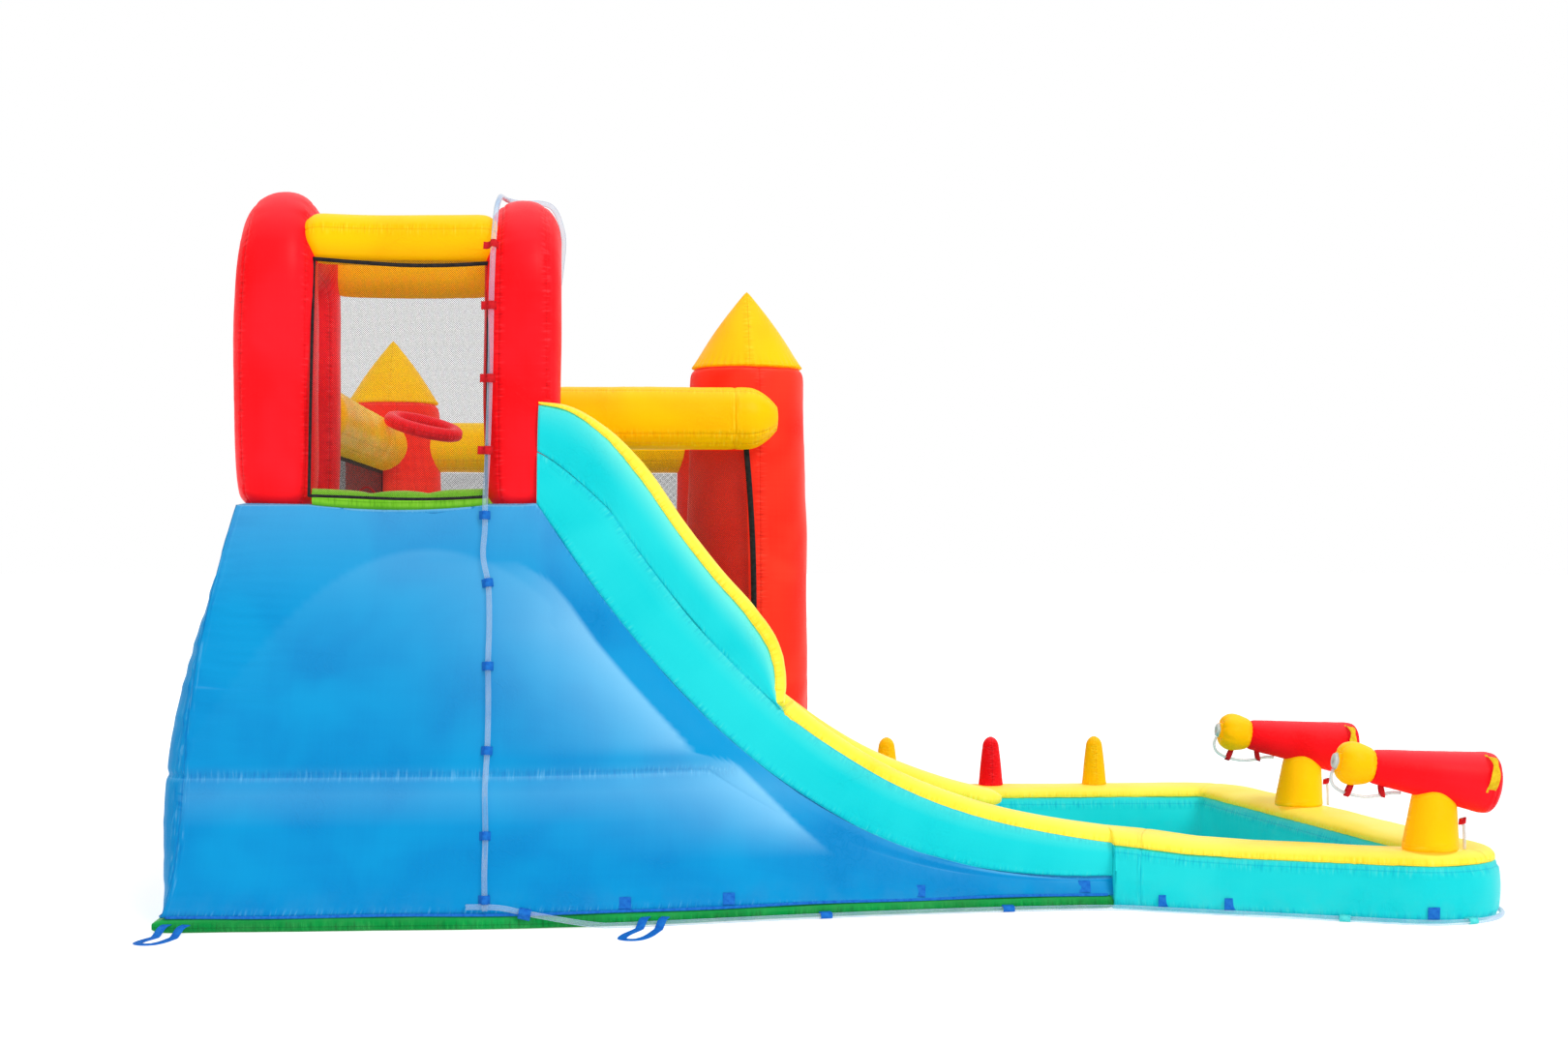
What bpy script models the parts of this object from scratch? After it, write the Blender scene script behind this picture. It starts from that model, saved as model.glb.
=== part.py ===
"""Inflatable bouncy castle with a slide tower, a splash pool and two water cannons.

Metres, +Z up. +X runs down the slide towards the pool, +Y from the slide lane across the bounce
area. The origin is on the ground, under the bounce floor. Every inflated chamber, net, strap and
tube is its own closed solid; the large chambers are open-bottomed shells on their ground mats.
"""

import bpy
import bmesh
import math
import numpy as np
from mathutils import Matrix, Vector

# General sizes
gap = 0.0003                 # running gap between pieces that touch
shellWall = 0.016            # thickness of the large chambers' fabric shells
webWall = 0.006              # thickness of the inner baffle panels
netWall = 0.004              # thickness of the netting panels
pillow = 0.03                # how far a chamber's edges round over

# Slide tower and slide base
matHeight = 0.045            # green ground mat under the slide base
deckHeight = 1.38            # top of the base, where the tower stands
deckRear = -1.745            # rear edge of the deck
deckEdge = -0.757            # front edge of the deck, where the slide starts
rearToe = 0.205              # how far the base's foot stands behind the deck
rearBulge = 0.075            # how far the rear face bellies out
slideRun = 1.96              # from the deck edge to the slide's exit
exitHeight = 0.105           # top of the base at the exit
slidePower = 2.42            # steepness of the slide's curve
laneNear = -1.75             # outer face of the near slide wall at the deck
laneFar = -0.64              # outer face of the far slide wall
laneToeIn = 0.10             # how far the near wall comes in by the exit
nearFlare = 0.21             # how far the base's near face stands out at the ground
farFlare = 0.03              # the same on the bounce side
bedThickness = 0.02          # sliding sheet
matOverhang = 0.012          # mat beyond the base

# Slide walls
wallThickness = 0.20         # across the lane
wallDepthTop = 0.19          # square to the slide, at the deck
wallDepthExit = 0.118        # square to the slide, at the exit
farWallEnd = 0.30            # the far wall stops this much before the exit
wingDepth = 0.15             # tall guard above the upper part of the wall
wingReach = 0.355            # share of the run over which the guard stands
guardRise = 0.31             # guard top above the deck, without its cap
capThickness = 0.04          # crowned yellow cap

# Tower
archWidth = 0.243            # along X
archDepth = 0.29             # along Y
archTop = 2.445              # highest point of the arches
archBend = 0.20              # centreline radius of the upper corners
legNear = -1.60              # centre of the near legs
legFar = -0.785              # centre of the far legs
archSkew = 0.03              # the far legs stand this much further back along X
archBackX = -1.627           # centre of the back arch's near leg
archFrontX = -0.808          # centre of the front arch's near leg
archWall = 0.014             # fabric shell of the arches
beamRadius = 0.086
beamHeight = archTop - 0.172    # beam centre
beamSeat = 0.02             # how far the arches hollow the beam's ends
padThickness = 0.05          # platform pad
netSetOut = 0.055            # near net stands this far outside the leg centres

# Bounce area
bounceFar = 2.17
bounceLeft = -1.86
bounceRight = 0.275
bounceMat = 0.012            # ground sheet thickness
floorHeight = 0.30           # top of the inflated floor
floorCorner = 0.09           # plan radius of its corners
columnRadius = 0.235
columnNeck = 0.226           # radius just under the turret
railHeight = deckHeight + 0.362    # rail centre
columnHeight = railHeight + 0.213  # top of the columns
columnWall = 0.012
columnFrontX = 0.022
columnBackX = -1.615
columnNearY = -0.25
columnFarY = 1.91
turretHeight = 0.315
turretLip = 0.222            # turret radius at its foot
railRadius = 0.122
nearRailY = -0.515
nearRailStart = -0.75
nearRailEnd = 0.125
backRailX = -1.645
railWall = 0.014
doorCentreY = 0.86

# Climbing wall, hoop, entrance step
climbWidth = 0.52
climbThickness = 0.12
climbRun = 0.52              # foot of the climb from its top, along Y
holdRadius = 0.035
hoopRadius = 0.145           # to the middle of the tube
hoopTube = 0.027
hoopY = 0.90
hoopDroop = 14.0             # degrees down towards its tip
hoopSeat = 22.5              # degrees up the rail's side where the hoop is sewn on
stepDepth = 0.36
stepWidth = 0.90
stepHeight = 0.19

# Pool
poolWidth = 0.25             # width of the rim chamber
poolWallHeight = 0.19        # without its cap
poolWallShell = 0.014
poolCapThickness = 0.042
poolCorner = 0.16            # plan radius at the centreline
poolFloorThickness = 0.010
poolStartY = -1.55           # near wall where it leaves the slide
poolNearX = 2.39             # near corner of the centreline
poolNearY = -2.05
poolFarX = 2.07              # far corner
poolFarY = 0.20
poolLeftX = 0.42

# Ring pegs
pegFoot = 0.053
pegTip = 0.033
pegHeight = 0.205
pegStart = 0.64
pegPitch = 0.445

# Water cannons
pivotHeight = 0.478          # barrel's axis above the ground
tiltDrop = 0.0825            # the barrel tilts on its seat, this far below its axis
cannonRise = 8.5             # degrees nose up at rest
barrelFront = 0.215          # from the pivot to the front edge
barrelRear = 0.21
barrelMuzzleRadius = 0.056
barrelRearRadius = 0.104
noseLength = 0.13
noseRadius = 0.073
nozzleRadius = 0.021
nozzleLength = 0.024         # nozzle ahead of the nose
handlePlace = -0.158         # handle strap, behind the pivot
handleTop = 68.0             # degrees round the barrel from its near side
handleFoot = -16.0
handleWidth = 0.030
handleThickness = 0.003
handleSlack = 0.022          # finger gap under the strap
pedestalFoot = 0.094
pedestalTop = 0.082
tiltRange = 7.0              # degrees each way
facetRoom = 0.36             # more room for flat facets beside the middle, times the offset squared
tubeRadius = 0.0055
feedPlace = 0.101            # feed tube, from the pedestal's axis to the rear
nearCannonShare = 0.85145    # place along the near rim
farCannonShare = 0.62013     # place along the end rim
farCannonInset = 0.018       # the far one stands this much inside the rim's middle

# Hoses and straps
hoseRadius = 0.009
hoseStandOff = 0.0008        # riser, clear of the fabric
hoseLoose = 0.006            # supply hose, clear of the mat and the pool
riserX = -0.918              # where the hose climbs the base
teeHeight = 0.075            # where the riser meets the supply hose
strapWidth = 0.030
strapThickness = 0.003
strapBend = 0.032            # centreline radius of the loop's end
strapSeam = 0.031            # height of its seam on the mat's edge
rearStrapX = -1.885
rearStrapReach = 0.21
sideStrapX = -0.36
sideStrapReach = 0.29
strapHeading = -108.0        # degrees, anticlockwise from +X

wingShoulder = 0.235         # share of the run where the guard's long edge ends
capStart = 0.375             # share of the run where the lower wall's cap starts
bedSteps = [archFrontX + archWidth / 2 + 0.006, archFrontX + archWidth / 2 + 0.04]
baffleFaces = [-1.25, -1.25 + webWall, -0.35, -0.35 + webWall]

matTop = matHeight + gap
bounceNear = laneFar + farFlare + matOverhang * 0.5 + gap    # edge next to the slide base
baseLevels = ((pillow * 1.6, 0.0), (pillow * 0.5, 0.3), (0.0, 1.0))    # outline's inset, share of the run
exitX = deckEdge + slideRun


def clearScene():
    for item in list(bpy.data.objects):
        bpy.data.objects.remove(item, do_unlink=True)


def makeMaterial(name, colour, roughness=0.55, metallic=0.0):
    material = bpy.data.materials.get(name)
    if material is None:
        material = bpy.data.materials.new(name)
        material.use_nodes = True
        shader = material.node_tree.nodes["Principled BSDF"]
        shader.inputs["Base Color"].default_value = (colour[0], colour[1], colour[2], 1.0)
        shader.inputs["Roughness"].default_value = roughness
        shader.inputs["Metallic"].default_value = metallic
    return material


red = ("red fabric", (0.90, 0.03, 0.03), 0.5)
orangeRed = ("tower red fabric", (0.93, 0.06, 0.02), 0.5)
yellow = ("yellow fabric", (0.98, 0.72, 0.0), 0.5)
blue = ("blue fabric", (0.03, 0.25, 0.75), 0.5)
cyan = ("cyan fabric", (0.02, 0.75, 0.78), 0.5)
green = ("green fabric", (0.22, 0.62, 0.06), 0.55)
mesh = ("black netting", (0.02, 0.02, 0.02), 0.8)
clear = ("clear tube", (0.75, 0.8, 0.84), 0.2)
grey = ("grey plastic", (0.55, 0.6, 0.63), 0.35)
strapBlue = ("blue webbing", (0.02, 0.2, 0.62), 0.7)


def finishObject(name, work, look):
    bmesh.ops.remove_doubles(work, verts=work.verts, dist=0.00001)
    bmesh.ops.recalc_face_normals(work, faces=work.faces)
    data = bpy.data.meshes.new(name)
    work.to_mesh(data)
    work.free()
    item = bpy.data.objects.new(name, data)
    bpy.context.scene.collection.objects.link(item)
    data.materials.append(makeMaterial(*look))
    data.shade_smooth()
    data.set_sharp_from_angle(angle=math.radians(40))
    return item


def loft(name, rings, look, closed=False):
    """Skin through rings of equal point count; the end rings are capped unless it closes on itself."""
    work = bmesh.new()
    rows = []
    for ring in rings:
        rows.append([work.verts.new(tuple(float(v) for v in point)) for point in ring])
    count = len(rows[0])
    pairs = list(zip(rows[:-1], rows[1:]))
    if closed:
        pairs.append((rows[-1], rows[0]))
    for first, second in pairs:
        for index in range(count):
            following = (index + 1) % count
            work.faces.new((first[index], first[following], second[following], second[index]))
    if not closed:
        work.faces.new(rows[0])
        work.faces.new(rows[-1])
    return finishObject(name, work, look)


def cut(item, cutter):
    """Take the cutter out of the item, and hide the cutter."""
    cutter.hide_render = True
    cutter.display_type = "WIRE"
    change = item.modifiers.new("cut by " + cutter.name, "BOOLEAN")
    change.operation = "DIFFERENCE"
    change.solver = "EXACT"
    change.object = cutter


def fuse(item, added):
    """Join a second solid to the item, and hide the second."""
    added.hide_render = True
    added.display_type = "WIRE"
    change = item.modifiers.new("with " + added.name, "BOOLEAN")
    change.operation = "UNION"
    change.solver = "EXACT"
    change.object = added


def arc(centre, radius, start, stop, steps):
    angles = np.radians(np.linspace(start, stop, steps))
    return [np.array((centre[0] + radius * math.cos(a), centre[1] + radius * math.sin(a))) for a in angles]


def roundedRectangle(width, depth, radius, steps=4):
    """Plan outline centred on zero, anticlockwise."""
    across = width / 2 - radius
    along = depth / 2 - radius
    points = []
    centres = ((across, along), (-across, along), (-across, -along), (across, -along))
    for quarter, (cx, cy) in enumerate(centres):
        points += arc((cx, cy), radius, 90 * quarter, 90 * quarter + 90, steps)
    return points


def roundedSection(width, height, squareness, count):
    """Superellipse section, from a circle (2) towards a box."""
    points = []
    for step in range(count):
        angle = 2 * math.pi * step / count
        c = math.cos(angle)
        s = math.sin(angle)
        points.append(((width / 2) * math.copysign(abs(c) ** (2 / squareness), c),
                       (height / 2) * math.copysign(abs(s) ** (2 / squareness), s)))
    return points


def smooth(points, each):
    """Catmull-Rom curve through the points, with so many steps in each span."""
    points = [np.array(point, float) for point in points]
    points = [2 * points[0] - points[1]] + points + [2 * points[-1] - points[-2]]
    curve = []
    for index in range(1, len(points) - 2):
        a, b, c, d = points[index - 1:index + 3]
        for step in range(each):
            t = step / each
            curve.append(0.5 * (2 * b + (c - a) * t + (2 * a - 5 * b + 4 * c - d) * t * t
                                + (3 * b - a - 3 * c + d) * t ** 3))
    curve.append(points[-2])
    return curve


def insetOutline(outline, distance):
    """Move a closed outline (anticlockwise) inwards by a distance, mitred at its corners."""
    count = len(outline)
    moved = []
    for index in range(count):
        before = outline[index] - outline[index - 1]
        after = outline[(index + 1) % count] - outline[index]
        n1 = np.array((-before[1], before[0])) / max(np.linalg.norm(before), 1e-9)
        n2 = np.array((-after[1], after[0])) / max(np.linalg.norm(after), 1e-9)
        mitre = n1 + n2
        scale = max(np.dot(mitre, mitre) / 2, 0.5)
        moved.append(outline[index] + mitre * distance / scale)
    return moved


def slideShare(x):
    return min(max((x - deckEdge) / slideRun, 0.0), 1.0)


def slideZ(x):
    """Height of the base's top: level on the deck, then the slide's curve."""
    return exitHeight + (deckHeight - exitHeight) * (1 - slideShare(x)) ** slidePower


def slideNormal(x):
    share = min(max(slideShare(x), 0.0), 0.9999)
    fall = (deckHeight - exitHeight) / slideRun * slidePower * (1 - share) ** (slidePower - 1)
    normal = np.array((fall, 1.0))
    return normal / np.linalg.norm(normal)


def slideShares(start, stop):
    """Shared stations along the slide, so that pieces that lie on each other have the same facets."""
    grid = [float(v) for v in np.linspace(0, 1, 16) ** 1.2]
    marks = [wingShoulder, wingReach, capStart, 1 - farWallEnd / slideRun]
    marks += [(x - deckEdge) / slideRun for x in bedSteps + baffleFaces if x > deckEdge]
    kept = [v for v in grid if all(abs(v - mark) > 0.012 for mark in marks)]
    return [v for v in sorted(set(kept + marks)) if start - 1e-9 <= v <= stop + 1e-9]


def slideCurve(offset, shares):
    """Points along the slide, raised square to it by offset(share)."""
    points = []
    for share in shares:
        x = deckEdge + share * slideRun
        points.append(np.array((x, slideZ(x))) + slideNormal(x) * offset(share))
    return points


def wallDepth(share):
    return wallDepthTop + (wallDepthExit - wallDepthTop) * share ** 4


def laneShift(x, side):
    """The near wall comes in towards the exit; the far wall is straight."""
    return laneToeIn * slideShare(x) if side == "near" else 0.0


def acrossLane(name, outline, outer, inner, side, look, edge=pillow):
    """A chamber of the slide: its outline in XZ carried across the lane, with rounded edges."""
    step = edge if inner > outer else -edge
    levels = ((edge * 0.9, outer), (0.0, outer + step), (0.0, inner - step), (edge * 0.9, inner))
    rings = []
    for amount, y in levels:
        rings.append([(p[0], y + laneShift(p[0], side), p[1]) for p in insetOutline(outline, amount)])
    return loft(name, rings, look)


def footShare(x):
    """Share of the flare that the base's foot has: full under the deck, little at the exit."""
    low = (slideZ(x) - matTop) / (deckHeight - matTop)
    return 1 - (1 - low) ** 2


def leanShare(x, z):
    """Share of the flare at a place on the base's side: as the foot has it below, none at the top."""
    return footShare(x) * (1 - min((z - matTop) / (slideZ(x) - matTop), 1.0))


def rearX(z):
    """Rear face: leaning out to its foot, with a belly."""
    drop = 1 - min(max((z - matTop) / (deckHeight - matTop), 0.0), 1.0)
    return deckRear - rearToe * drop ** 0.8 - rearBulge * math.sin(math.pi * drop ** 1.3) ** 1.2


def baseSection(x, shrink, foot):
    """Section of the base at a station, up the near face and down the far one, shrunk by a wall."""
    steep = 1 / slideNormal(x)[1] if x > deckEdge else 1.0
    top = slideZ(x) - shrink * steep
    shoulder = top - baseLevels[0][0] * steep
    climb = [(0.0, foot)] + [(0.0, foot + (shoulder - foot) * share) for share in (0.33, 0.67)]
    climb += [(depth * pillow, top - amount * steep) for amount, depth in baseLevels]
    section = []
    for side, face, flare, inward in (("near", laneNear, nearFlare, 1), ("far", laneFar, farFlare, -1)):
        part = []
        for run, z in climb:
            lean = flare * leanShare(x, z)
            part.append((face + inward * (shrink + run - lean) + laneShift(x, side), z))
        section += part if side == "near" else part[::-1]
    return section


def ladder(name, rings, look):
    """Loft whose end rings are symmetrical, and are closed by strips from side to side."""
    work = bmesh.new()
    rows = [[work.verts.new(tuple(float(v) for v in point)) for point in ring] for ring in rings]
    count = len(rows[0])
    for first, second in zip(rows[:-1], rows[1:]):
        for index in range(count):
            following = (index + 1) % count
            work.faces.new((first[index], first[following], second[following], second[index]))
    for row in (rows[0], rows[-1]):
        for index in range(count // 2 - 1):
            work.faces.new((row[index], row[index + 1], row[count - 2 - index], row[count - 1 - index]))
    return finishObject(name, work, look)


def baseBlock(name, shrink, foot, look):
    """The base as a block with flared faces, a bellied rear and the slide's curve on top."""
    stations = [deckEdge + share * slideRun for share in slideShares(0, 1)]
    stations[-1] -= shrink
    rings = []
    for share in (0.0, 0.1, 0.32):
        ring = []
        for y, z in baseSection(deckRear, shrink, foot):
            x = rearX(z) + shrink
            ring.append((x + (deckEdge - archWidth - x) * share, y, z))
        rings.append(ring)
    low = deckHeight - shrink - baseLevels[0][0]
    rings[0] = [(x, y + (pillow * 0.8 if y < (laneNear + laneFar) / 2 else -pillow * 0.8), min(z, low + 0.02))
                for x, y, z in rings[0]]
    for x in sorted([baffleFaces[0], baffleFaces[1]]) + stations:
        rings.append([(x, y, z) for y, z in baseSection(x, shrink, foot)])
    return ladder(name, rings, look)


def makeSlideBase():
    base = baseBlock("slide_base", 0.0, matTop, blue)
    cavity = baseBlock("base_cavity", shellWall, matTop - 0.02, blue)
    cut(base, cavity)
    return base


def makeBaseBaffle(name, low, high):
    """Upright panel across the chamber, sewn to the shell all round."""
    rings = []
    for x in (low, high):
        rings.append([(x, y, z) for y, z in baseSection(x, shellWall + gap * 2, matTop + gap)])
    return ladder(name, rings, blue)


def matStations():
    return np.linspace(deckRear - rearToe - matOverhang, exitX, 12)


def matNearY(x):
    """Y of the slide mat's near edge, which is straight between its stations."""
    stations = matStations()
    edge = [laneNear + laneShift(s, "near") - nearFlare * footShare(s) - matOverhang for s in stations]
    return float(np.interp(x, stations, edge))


def makeSlideMat():
    """Green ground mat, a little wider than the base's foot."""
    rings = []
    soft = matHeight * 0.22
    for x in matStations():
        near = matNearY(x)
        far = laneFar + farFlare * footShare(x) + matOverhang * 0.5
        rings.append([(x, near + soft, 0.0), (x, far - soft, 0.0), (x, far, soft), (x, far, matHeight - soft),
                      (x, far - soft, matHeight), (x, near + soft, matHeight), (x, near, matHeight - soft),
                      (x, near, soft)])
    return loft("ground_mat_slide", rings, green)


def makeSlideBed():
    """Sliding sheet: between the arch legs on the deck, then as wide as the lane."""
    frontFace = archFrontX + archWidth / 2
    legInner = legNear + archDepth / 2
    legInnerFar = legFar - archDepth / 2
    laneInner = laneNear + wallThickness
    laneInnerFar = laneFar - wallThickness
    start = archFrontX - archWidth / 2 + 0.01
    stations = [(start, True)]
    stations += [(deckEdge + share * slideRun, deckEdge + share * slideRun < frontFace + 0.02)
                 for share in slideShares(0, 1)]
    rings = []
    for x, between in stations:
        near = max(legInner, laneInner) if between else laneInner
        far = min(legInnerFar, laneInnerFar) if between else laneInnerFar
        near += gap + (laneShift(x, "near") if not between else 0.0)
        far -= gap
        bottom = np.array((x, slideZ(x))) + slideNormal(x) * gap * (1 if x > deckEdge else 0)
        bottom[1] += gap if x <= deckEdge else 0.0
        normal = slideNormal(x) if x > deckEdge else np.array((0.0, 1.0))
        top = bottom + normal * bedThickness
        rings.append([(bottom[0], near, bottom[1]), (bottom[0], far, bottom[1]),
                      (top[0], far, top[1]), (top[0], near, top[1])])
    return loft("slide_bed", rings, cyan)


def bandOutline(end):
    """Lower wall: the slide's curve below, the same curve raised by the wall's depth above."""
    shares = slideShares(0, end)
    below = slideCurve(lambda share: gap, shares)
    above = slideCurve(wallDepth, shares)
    below[0] = np.array((deckEdge + 0.004, deckHeight + gap))
    if end > 0.999:
        below[-1][0] = exitX - gap
        above[-1][0] = exitX - gap
    return below + above[::-1] + wallShoulder(0.0)[::-1]


def wallShoulder(raise_):
    """Top of the wall beside the arch, before it meets the slide's curve."""
    return [np.array((deckEdge + 0.005, deckHeight + wallDepthTop * 0.9 + raise_)),
            np.array((deckEdge + 0.085, deckHeight + wallDepthTop * 0.82 + raise_))]


def wingEdge(extra):
    """Top edge of the tall guard, from the deck to where it rounds down onto the wall."""
    full = wallDepthTop + wingDepth + extra
    main = slideCurve(lambda share: full, (0.03, 0.10, 0.17, wingShoulder))
    toe = slideCurve(lambda share: wallDepth(share) + gap, (wingReach,))[0]
    lead = [np.array((deckEdge + 0.005, deckHeight + guardRise + extra)),
            np.array((deckEdge + 0.095, deckHeight + guardRise - 0.005 + extra)),
            np.array((deckEdge + 0.215 + extra * 0.5, deckHeight + guardRise * 0.77 + extra * 0.8))]
    last = [toe + np.array((extra - 0.035, 0.20)), toe + np.array((extra - 0.014, 0.11)),
            toe + np.array((extra - 0.018, 0.02))]
    return smooth(lead + main + last, 2)


def wingOutline():
    """Tall guard: on the lower wall's top below, its own curve above."""
    below = slideCurve(lambda share: wallDepth(share) + gap * 2, slideShares(0, wingReach))
    return wallShoulder(gap * 2) + below + wingEdge(0.0)[::-1]


def capAlong(name, path, outer, inner, thickness, side, look):
    """Crowned cap over the edge of a wall: a flat foot and a rounded crown, along a path in XZ."""
    width = abs(inner - outer) * 0.96
    middle = (inner + outer) / 2
    crown = ((-0.5, 0.0), (0.5, 0.0), (0.5, 0.45), (0.36, 0.82), (0.0, 1.0), (-0.36, 0.82), (-0.5, 0.45))
    rings = []
    for index, point in enumerate(path):
        before = path[max(index - 1, 0)]
        after = path[min(index + 1, len(path) - 1)]
        along = (after - before) / np.linalg.norm(after - before)
        normal = np.array((-along[1], along[0]))
        ring = []
        for across, up in crown:
            place = point + normal * (gap + up * thickness)
            place[0] = min(max(place[0], deckEdge), exitX - gap)
            ring.append((place[0], middle + across * width + laneShift(place[0], side), place[1]))
        rings.append(ring)
    return loft(name, rings, look)


def archX(centre, y):
    return centre - archSkew * (y - legNear) / (legFar - legNear)


def archPath():
    """Centreline of an arch in YZ: up the near leg, over, and down the far leg."""
    foot = deckHeight + gap
    high = archTop - archDepth / 2
    points = [((legNear, foot), (1.0, 0.0)), ((legNear, foot + 0.35), (1.0, 0.0)),
              ((legNear, high - archBend - 0.1), (1.0, 0.0))]
    for angle in np.linspace(180, 90, 5):
        a = math.radians(angle)
        points.append(((legNear + archBend + archBend * math.cos(a), high - archBend + archBend * math.sin(a)),
                       (-math.cos(a), -math.sin(a))))
    for angle in np.linspace(90, 0, 5):
        a = math.radians(angle)
        points.append(((legFar - archBend + archBend * math.cos(a), high - archBend + archBend * math.sin(a)),
                       (-math.cos(a), -math.sin(a))))
    points += [((legFar, high - archBend - 0.1), (-1.0, 0.0)), ((legFar, foot + 0.35), (-1.0, 0.0)),
               ((legFar, foot), (-1.0, 0.0))]
    return points


def archRings(centre, grow):
    section = roundedSection(archWidth + 2 * grow, archDepth + 2 * grow, 2.7, 14)
    rings = []
    for (y, z), (inY, inZ) in archPath():
        ring = []
        for across, deep in section:
            py = y + inY * deep
            ring.append((archX(centre, py) + across, py, z + inZ * deep))
        rings.append(ring)
    return rings


def makeArch(name, centre):
    """Inflated arch: a fabric tube, open at its two feet."""
    outer = archRings(centre, 0.0)
    inner = archRings(centre, -archWall)
    return loft(name, outer + inner[::-1], red, closed=True)


def archCutter(name, centre):
    rings = archRings(centre, gap)
    for ring in (rings[0], rings[-1]):
        for index, point in enumerate(ring):
            ring[index] = (point[0], point[1], deckHeight - 0.05)
    return loft(name, rings, red)


def legFace(centre, y, offset, side):
    """X of an arch leg's face at a distance from the leg's centre."""
    share = min(abs(offset) / (archDepth / 2), 0.999)
    half = archWidth / 2 * (1 - share ** 2.7) ** (1 / 2.7)
    return archX(centre, y + offset) + side * half


def makeBeam(name, y):
    """Top beam between the arches, seated on their faces."""
    start = archX(archBackX, y) + archWidth / 2 - beamSeat
    stop = archX(archFrontX, y) - archWidth / 2 + beamSeat
    beam = tubeAlong(((start, beamRadius * 0.9), (start + 0.03, beamRadius), ((start + stop) / 2, beamRadius),
                      (stop - 0.03, beamRadius), (stop, beamRadius * 0.9)), "x", (y, beamHeight), yellow, name)
    cut(beam, archCutter(name + "_seat_back", archBackX))
    cut(beam, archCutter(name + "_seat_front", archFrontX))
    return beam


def makePad():
    """Platform pad on the deck, between the arches."""
    rings = []
    for low, amount in ((0.0, 0.006), (0.25, 0.0), (0.75, 0.0), (1.0, 0.014)):
        z = deckHeight + gap + padThickness * low
        near = laneNear + 0.012 + amount
        far = laneFar - amount - 0.005
        left = archWidth / 2 + gap * 2 + amount
        rings.append([(archX(archBackX, near) + left, near, z), (archX(archFrontX, near) - left, near, z),
                      (archX(archFrontX, far) - left, far, z), (archX(archBackX, far) + left, far, z)])
    return loft("platform_pad", rings, green)


def makeTowerNetNear():
    y = legNear - netSetOut
    foot = deckHeight + gap * 2 + padThickness
    top = beamHeight - math.sqrt(beamRadius ** 2 - (netSetOut - netWall) ** 2) - gap * 4
    left = legFace(archBackX, legNear, -netSetOut, 1) + gap * 4
    right = legFace(archFrontX, legNear, -netSetOut, -1) - gap * 4
    corners = ((left, foot), (right, foot), (right, top), (left, top))
    rings = [[(x, y + side * netWall / 2, z) for x, z in corners] for side in (-1, 1)]
    return loft("tower_net_near", rings, mesh)


def makeTowerNetBack():
    """Net in the back arch, with its upper corners rounded by the arch."""
    foot = deckHeight + gap * 2
    top = archTop - archDepth - gap * 4
    near = legNear + archDepth / 2 + gap * 4
    far = legFar - archDepth / 2 - gap * 4
    curve = max(archBend - archDepth / 2, 0.01)
    outline = [np.array((near, foot)), np.array((far, foot))]
    outline += arc((far - curve, top - curve), curve, 0, 90, 4)
    outline += arc((near + curve, top - curve), curve, 90, 180, 4)
    rings = []
    for side in (-1, 1):
        rings.append([(archX(archBackX, p[0]) + side * netWall / 2, p[0], p[1]) for p in outline])
    return loft("tower_net_back", rings, mesh)


def uprightShell(name, outline, levels, wall, look):
    """Open-bottomed shell on a plan outline; levels are (height, inset) from the foot up."""
    outer = [[(p[0], p[1], z) for p in insetOutline(outline, amount)] for z, amount in levels]
    inner = [[(p[0], p[1], min(z, levels[-1][0] - wall)) for p in insetOutline(outline, amount + wall)]
             for z, amount in levels]
    return loft(name, inner[::-1] + outer, look)


def shifted(outline, x, y):
    return [p + np.array((x, y)) for p in outline]


def makeBounceFloor():
    width = bounceRight - bounceLeft
    depth = bounceFar - bounceNear
    plan = shifted(roundedRectangle(width, depth, floorCorner), (bounceLeft + bounceRight) / 2,
                   (bounceNear + bounceFar) / 2)
    foot = bounceMat + gap
    levels = ((foot, 0.012), (foot + 0.03, 0.0), (floorHeight - 0.05, 0.0), (floorHeight - 0.014, 0.012),
              (floorHeight, 0.05))
    return uprightShell("bounce_floor", plan, levels, shellWall, cyan)


def makeFloorBaffle():
    """One of the upright panels that hold the floor flat."""
    x = (bounceLeft + bounceRight) / 2
    inset = shellWall + 0.016
    foot = bounceMat + gap * 2
    top = floorHeight - shellWall - gap * 2
    corners = ((bounceNear + inset, foot), (bounceNear + inset, top - 0.06), (bounceNear + inset + 0.06, top),
               (bounceFar - inset - 0.06, top), (bounceFar - inset, top - 0.06), (bounceFar - inset, foot))
    rings = [[(x + side * webWall / 2, y, z) for y, z in corners] for side in (-1, 1)]
    return loft("floor_baffle", rings, cyan)


def makeBounceMat():
    width = bounceRight - bounceLeft
    depth = bounceFar - bounceNear
    plan = shifted(roundedRectangle(width, depth, floorCorner), (bounceLeft + bounceRight) / 2,
                   (bounceNear + bounceFar) / 2)
    return loft("ground_mat_bounce", [[(p[0], p[1], z) for p in plan] for z in (0.0, bounceMat)], green)


def circle(radius, count):
    return arc((0.0, 0.0), radius, 0, 360 - 360 / count, count)


def columnLevels():
    foot = floorHeight + gap
    return ((foot, columnRadius - 0.012), (foot + 0.05, columnRadius), (columnHeight * 0.6, columnRadius),
            (columnHeight - 0.02, columnNeck), (columnHeight, columnNeck - 0.016))


def makeColumn(name, x, y):
    """Inflated column, open below where it is sewn to the floor."""
    outer = [[(x + p[0], y + p[1], z) for p in circle(radius, 20)] for z, radius in columnLevels()]
    inner = [[(x + p[0], y + p[1], min(z, columnHeight - columnWall))
              for p in circle(radius - columnWall, 20)]
             for z, radius in columnLevels()]
    return loft(name, inner[::-1] + outer, orangeRed)


def columnCutter(name, x, y):
    rings = [[(x + p[0], y + p[1], z) for p in circle(radius + gap, 20)] for z, radius in columnLevels()]
    return loft(name, rings, orangeRed)


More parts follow.
